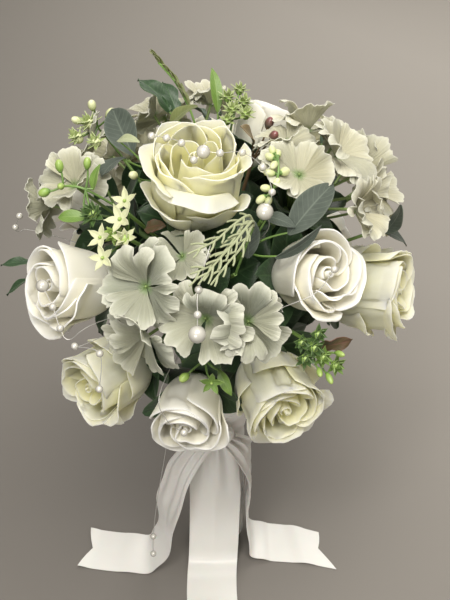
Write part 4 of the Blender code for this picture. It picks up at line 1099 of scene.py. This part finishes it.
def rosette(piece, joints, rng, place_spot, radius, leaves, slot=0):
    """A ball of small leaves about a bud."""
    radius *= MM
    place = spot(*place_spot)
    stalk(piece, joints, place)
    axis = (place - BALL_CENTRE).normalized()
    piece.add(egg(place, 0.45 * radius, 0.5 * radius, axis, ribs=5, rib_depth=0.08), slot=2)
    for k in range(leaves):
        rise = 1 - 1.5 * (k + 0.5) / leaves
        way = on_ring(math.sqrt(1 - rise * rise), 2.4 * k, rise)
        matrix = along_z(axis) @ way.to_track_quat("X", "Z").to_matrix().to_4x4()
        grid = narrow_petal(radius * rng.uniform(0.9, 1.2), 0.26 * radius, 0.25)
        piece.add(shell(grid, LEAF_THICKNESS), slot=slot, matrix=Matrix.Translation(place) @ matrix)


def frond(piece, joints, rng, pairs, length, *spots):
    """A rib through spots with leaflets that lean towards its tip, each with a fork of its own."""
    length *= MM
    ribs = [spot(*place) for place in spots]
    ribs.insert(0, nearest(joints, ribs[0]))
    twig(piece, joints, rng, *spots)
    run = flowing(ribs, 12)
    for k in range(4 * pairs):
        place = int((k + 0.5) / (4 * pairs) * (len(run) - 1))
        base, ahead = run[place], step_at(run, place).normalized()
        turn = 42 if k % 2 else -42
        lean = swung(ahead, turn + rng.uniform(-9, 9), base - BALL_CENTRE)
        tip = base + lean * (length * rng.uniform(0.8, 1.0))
        grid = leaf_grid(base, tip, FROND_LEAF_WIDTH, "long", rng.uniform(-20, 20))
        piece.add(shell(grid, LEAF_THICKNESS))
        fork = base.lerp(tip, 0.45)
        side = swung(lean, -turn * 0.9, base - BALL_CENTRE)
        grid = leaf_grid(fork, fork + side * (0.45 * length), 0.8 * FROND_LEAF_WIDTH, "long", 0)
        piece.add(shell(grid, LEAF_THICKNESS))


def strand(piece, joints, rng, shoots, *spots):
    """A pale strand through spots, with short bent shoots that lean towards its tip."""
    places = [spot(*place) for place in spots]
    run = flowing([nearest(joints, places[0])] + places, 8)
    piece.add(tube(run, tapering(run, 1.1 * STRAND_RADIUS, 0.5 * STRAND_RADIUS), 6))
    for k in range(shoots):
        place = int((0.30 + 0.66 * k / shoots) * (len(run) - 1))
        base, ahead = run[place], step_at(run, place).normalized()
        aside = swung(ahead, (36 if k % 2 else -36) + rng.uniform(-9, 9), base - BALL_CENTRE)
        length = rng.uniform(0.005, 0.010)
        bend = base + aside * (0.55 * length)
        tip = bend + (aside + ahead * 0.8).normalized() * (0.45 * length)
        shoot = flowing([base, bend, tip], 4)
        piece.add(tube(shoot, tapering(shoot, 0.85 * STRAND_RADIUS, 0.3 * STRAND_RADIUS), 6))


ORGANS = {made.__name__: made for made in (twig, leaf, bud, star, frond, rosette, strand)}


def spray(finishes, name, slot, azimuth, elevation, *organs):
    """A spray that stands in the bundle and forks among the blooms."""
    rng = random.Random(name)
    piece = Piece()
    root = BALL_CENTRE + direction(azimuth, elevation) * STEM_ROOT_REACH
    fork = spot(azimuth, elevation, FORK_LIFT)
    joints = [fork]
    piece.add(tube([root, root.lerp(fork, 0.5), fork], [SPRAY_STEM_RADIUS] * 3), slot=1)
    for kind, *rows in organs:
        for row in rows:
            ORGANS[kind](piece, joints, rng, *row)
    piece.make(name + "_spray", [name], slot, finishes[slot])


# Pearls


def pearl_wire(finishes, name, azimuth, elevation, bend_lift, *spots):
    """A thin wire out of the bundle, over the petals, with its pearls."""
    root = BALL_CENTRE + direction(azimuth, elevation) * STEM_ROOT_REACH
    places = [spot(*place[:3]) for place in spots]
    run = flowing([root, spot(azimuth, elevation, bend_lift)] + places, WIRE_STEPS)
    piece = Piece()
    piece.add(tube(run, tapering(run, WIRE_RADIUS), 6), slot=1)
    for k, (*_, radius) in enumerate(spots):
        if radius:
            ahead = step_at(run, WIRE_STEPS * (k + 2)).normalized()
            piece.add(egg(places[k], radius * MM, radius * MM, ahead, PEARL_SIDES, PEARL_RINGS))
    piece.make(name + "_string", [name], "white_pearl", finishes)


# Stems and handle


def bloom_feet():
    """For every bloom its azimuth and elevation, the frame of its foot, and whether it is a rose."""
    feet = [(spec[2], spec[3], rose_frame(*spec[1:]), True) for spec in ROSES]
    for _, azimuth, elevation, reach, _ in HYDRANGEAS:
        feet.append((azimuth, elevation, placed(azimuth, elevation, reach * MM - HEAD_DEPTH), False))
    return sorted(feet, key=lambda foot: foot[:2])


def calyx(piece, foot_frame):
    """The cup under a rose and its sepals."""
    piece.add(turned(CALYX, 16, foot_frame.translation, foot_frame.col[2].xyz))
    for k in range(SEPALS):
        grid = narrow_petal(SEPAL_LENGTH, 0.30 * SEPAL_LENGTH, 0.75)
        piece.add(shell(grid, LEAF_THICKNESS), matrix=foot_frame @ spun(360 * k / SEPALS))


def stem_leaves(piece, foot_frame, rng):
    """Rose leaves round a bloom's stem, which fill the gaps between the blooms."""
    foot, axis = foot_frame.translation, foot_frame.col[2].xyz
    first = rng.uniform(0, 360)
    for k in range(STEM_LEAVES):
        turn = math.radians(first + 360 * k / STEM_LEAVES + rng.uniform(-15, 15))
        aside = (foot_frame.to_3x3() @ on_ring(1.0, turn)).normalized()
        rise = math.radians(rng.uniform(22, 44))
        base = foot - axis * rng.uniform(0.006, 0.016)
        way = axis * math.sin(rise) + aside * math.cos(rise)
        tip = base + way * rng.uniform(0.034, 0.044)
        grid = leaf_grid(base, tip, rng.uniform(0.020, 0.026), "oval", rng.uniform(-15, 15), 0.05)
        piece.add(shell(grid, LEAF_THICKNESS), slot=2)


def inner_leaves(piece, rng):
    """Dark leaves on stalks from the neck, in the middle of the head, which close the view through it."""
    for k in range(INNER_LEAVES):
        azimuth = GOLDEN_ANGLE * k
        elevation = math.degrees(math.asin(-0.35 + 1.34 * (k + 0.5) / INNER_LEAVES))
        base = BALL_CENTRE + direction(azimuth, elevation) * INNER_STALK_REACH
        aside = direction(azimuth + rng.uniform(25, 45), elevation + rng.uniform(-15, 20))
        tip = BALL_CENTRE + aside * rng.uniform(0.068, 0.074)
        piece.add(tube([NECK, NECK.lerp(base, 0.5), base], [INNER_STALK_RADIUS] * 3, 6))
        grid = leaf_grid(base, tip, INNER_LEAF_WIDTH, "oval", rng.uniform(-25, 25), 0.05)
        piece.add(shell(grid, LEAF_THICKNESS), slot=2)


def stems(finishes):
    """Every bloom's stem from its cut end, through the binding, to the cup and leaves under the bloom."""
    rng = random.Random("stems")
    piece = Piece()
    inner_leaves(piece, rng)
    lowest = -90
    for highest, ring, thickness in STEM_RINGS:
        here = [foot for foot in bloom_feet() if lowest <= foot[1] < highest]
        lowest = highest
        for place, (_, _, foot_frame, is_rose) in enumerate(here):
            turn = math.radians(here[0][0] + 360 * place / len(here))
            across = Vector((math.sin(turn), -math.cos(turn), 0))
            foot, axis = foot_frame.translation, foot_frame.col[2].xyz
            out = (foot - BALL_CENTRE).normalized()
            points = [across * ring + UP * z for z in (0.0, 0.05, 0.10, 0.150)]
            points.append(across * (ring + 0.004) + out * 0.002 + UP * 0.185)
            points.append(BALL_CENTRE + out * 0.030 + across * 0.008)
            points += [foot - axis * 0.012, foot - axis * 0.002]
            run = flowing(points, 5)
            change = BLOOM_STEM_RADIUS - thickness
            radii = [thickness + change * smooth((p.z - 0.16) / 0.06) for p in run]
            piece.add(tube(run, radii, 10))
            cut = ((0.96 * thickness, 0.0001), (0.94 * thickness, 0.0010))
            piece.add(turned(cut, 12, run[0], UP), slot=1)
            if is_rose:
                calyx(piece, foot_frame)
            stem_leaves(piece, foot_frame, rng)
    piece.make("stems", ["stem_bundle"], "green_stem", finishes)


def wrapping(finishes):
    """Satin wound up the handle in overlapping turns."""
    def point(around, share):
        turn = 2 * math.pi * around
        wound = (share * WRAP_TURNS + turn / (2 * math.pi)) % 1.0
        crease = 0.00012 * math.sin(3 * turn + 23 * share)
        radius = WRAP_RADIUS + 0.0005 * (1 - smooth(wound * 3)) + 0.0003 * wound + crease
        return on_ring(radius, turn, WRAP_LOW + (WRAP_HIGH - WRAP_LOW) * share)

    piece = Piece()
    piece.add(shell(grid_of(65, 90, point), WRAP_THICKNESS))
    piece.make("satin_wrapping", ["satin_wrap"], "white_satin", finishes)


def band_and_knot(finishes):
    """The ribbon's turn round the handle with its creases, and the pleated knot in front."""
    def point(around, share):
        turn = 2 * math.pi * around
        towards_knot = smooth(2 * max(math.cos(turn + math.pi / 2), 0) - 0.9)
        crease = 0.0005 * math.sin(math.pi * 4 * share + 0.8 * math.sin(turn)) + 0.0002 * math.sin(9 * turn)
        middle = (BAND_LOW + BAND_HIGH) / 2
        height = middle + (BAND_HIGH - BAND_LOW) * (share - 0.5) * (1 - 0.35 * towards_knot)
        return on_ring(BAND_RADIUS + crease, turn, height)

    piece = Piece()
    piece.add(shell(grid_of(65, 19, point), 2 * RIBBON_THICKNESS))
    ball = egg(Vector((0, 0, 0)), 1.0, 1.0, Vector((1, 0, 0)), 48, 24, ribs=9, rib_depth=0.06)
    piece.add(ball, matrix=Matrix.Translation(KNOT) @ Matrix.Diagonal((*KNOT_SIZE, 1.0)))
    piece.make("ribbon_band_and_knot", ["ribbon_tie"], "white_satin", finishes)


def pleat_height(width):
    """How high the pleats must be for the full ribbon to lie in this width."""
    low, high, steps = 0.0, RIBBON_WIDTH / 2, 96
    turns = [2 * math.pi * RIBBON_PLEATS * k / steps for k in range(steps + 1)]
    for _ in range(24):
        height = (low + high) / 2
        run = [Vector((width * k / steps, height * math.sin(turn))) for k, turn in enumerate(turns)]
        low, high = (height, high) if length_of(run) < RIBBON_WIDTH else (low, height)
    return low


PLEATS = {k: pleat_height(RIBBON_WIDTH * k / 100) for k in range(30, 101)}


def waving(centres, turns, shares):
    """The middle line of a tail with soft waves where it is spread out, all of it above the table."""
    run = []
    for k, centre in enumerate(centres):
        turn = math.radians(turns[k])
        normal = on_ring(1.0, turn).cross(step_at(centres, k)).normalized()
        wave = TAIL_WAVE * smooth((shares[k] - 0.6) / 0.4) * math.sin(0.5 * k + turn)
        place = centre + normal * wave
        place.z = max(place.z, TAIL_LOWEST)
        run.append(place)
    return run


def tail(name, stations, finishes):
    """A ribbon tail, pleated where it leaves the knot, with a notch in its cut end."""
    centres = flowing([Vector(station[:3]) * MM for station in stations], TAIL_STEPS)
    turns, shares, backs = (flowing([station[k] for station in stations], TAIL_STEPS) for k in (3, 4, 5))
    shares = [min(share, 1.0) for share in shares]
    centres = waving(centres, turns, shares)
    length = length_of(centres)
    grid = []
    for i in range(TAIL_COLUMNS):
        across = 2 * i / (TAIL_COLUMNS - 1) - 1
        column = []
        for j in range(len(centres)):
            where = j * (1 - TAIL_NOTCH * (1 - abs(across)) / length)
            k = min(int(where), len(centres) - 2)
            rest = where - k
            turn, share, back = (run[k] + (run[k + 1] - run[k]) * rest for run in (turns, shares, backs))
            side = on_ring(1.0, math.radians(turn))
            normal = side.cross(centres[k + 1] - centres[k]).normalized()
            pleat = PLEATS[round(100 * share)] * math.sin(math.pi * RIBBON_PLEATS * (across + 1))
            point = centres[k].lerp(centres[k + 1], rest)
            point += side * (across * share * RIBBON_WIDTH / 2) + normal * pleat
            column.append(point + UP.cross(side) * (back * MM * abs(across)))
        grid.append(column)
    piece = Piece()
    piece.add(shell(grid, RIBBON_THICKNESS))
    obj = piece.make(name, [TAIL_NODES[name]], "white_satin", finishes)


# Stage


def floor():
    """A pale floor that rises all round into a wall, with painted light: darker to the left and front,
    lighter to the right and back.
    """
    flat, bend, height, sides, steps = 1.5, 0.7, 1.7, 64, 12
    profile = [(flat, 0.0)]
    for k in range(1, steps + 1):
        turn = math.radians(90 * k / steps)
        profile.append((flat + bend * math.sin(turn), bend * (1 - math.cos(turn))))
    profile.append((flat + bend, height))
    points = [on_ring(reach, 2 * math.pi * s / sides, z) for reach, z in profile for s in range(sides)]
    ground, _, *wall = ring_faces(len(profile), sides)
    mesh = bpy.data.meshes.new("floor")
    mesh.from_pydata(points, [], [face[::-1] for face in (ground, *wall)])
    mesh.shade_smooth()
    paint = Paint("floor_paint", 0.8)
    # Painted light and shade: from dark at the left and front to light at the right and back.
    right, back, _ = paint.split(paint.place())
    share = paint.calc("ADD", paint.times(right, 0.77), paint.times(back, 0.57))
    share = paint.calc("ADD", share, 0.14, clamp=True)
    body = paint.blend(share, (0.155, 0.142, 0.127), (0.44, 0.41, 0.37))
    body = paint.blend(paint.times(paint.grain(3.0), 0.1), body, (0.30, 0.28, 0.25))
    mesh.materials.append(paint.finish(body))
    linked("floor", mesh)


def aimed(name, data, place, ahead):
    """A new object that looks ahead from a place."""
    obj = linked(name, data)
    obj.location = place
    obj.rotation_euler = ahead.to_track_quat("-Z", "Y").to_euler()
    return obj


def lights():
    """Soft lights above, in front and behind, a small one for the pearls, and dim light all round."""
    for name, (place, size, power, colour) in LAMPS.items():
        light = bpy.data.lights.new(name, "AREA")
        light.size = size
        light.energy = power
        light.color = colour
        aimed(name, light, place, BALL_CENTRE - Vector(place))
    world = bpy.data.worlds.new("soft_light")
    world.use_nodes = True
    world.node_tree.nodes["Background"].inputs[0].default_value = SKY_COLOUR
    world.node_tree.nodes["Background"].inputs[1].default_value = SKY_STRENGTH
    bpy.context.scene.world = world
    bpy.context.scene.view_settings.view_transform = "Standard"


def camera():
    """The photograph's point of view."""
    lens = bpy.data.cameras.new("camera")
    lens.sensor_width = SENSOR
    lens.lens = SENSOR * FOCAL_PIXELS / IMAGE_HEIGHT
    bpy.context.scene.camera = aimed("camera", lens, CAMERA_PLACE, CAMERA_AHEAD)


def main():
    """The stage and every piece of the bouquet."""
    camera()
    lights()
    floor()
    skins = {name: skin_finish(name, *spec) for name, spec in SKINS.items()}
    skins.update((name, leaf_finish(name, *spec)) for name, spec in LEAVES.items())
    sprays = {slot: [skins[name] for name in names] for slot, names in SPRAY_FINISHES.items()}
    satin = [satin_finish()]
    petals = {"silk": silk_petal(), "foam": foam_petal()}
    florets = [floret_petal(), skins["floret_eye"]]
    pearls = [pearl_finish(), wire_finish()]
    stems([stem_finish(), cut_finish(), skins["dark_leaf"]])
    wrapping(satin)
    band_and_knot(satin)
    for name, stations in TAILS.items():
        tail(name, stations, satin)
    for spec in ROSES:
        rose(petals, *spec)
    for spec in HYDRANGEAS:
        hydrangea(*spec, florets)
    for spec in SPRAYS:
        spray(sprays, *spec)
    for spec in PEARLS:
        pearl_wire(pearls, *spec)


main()
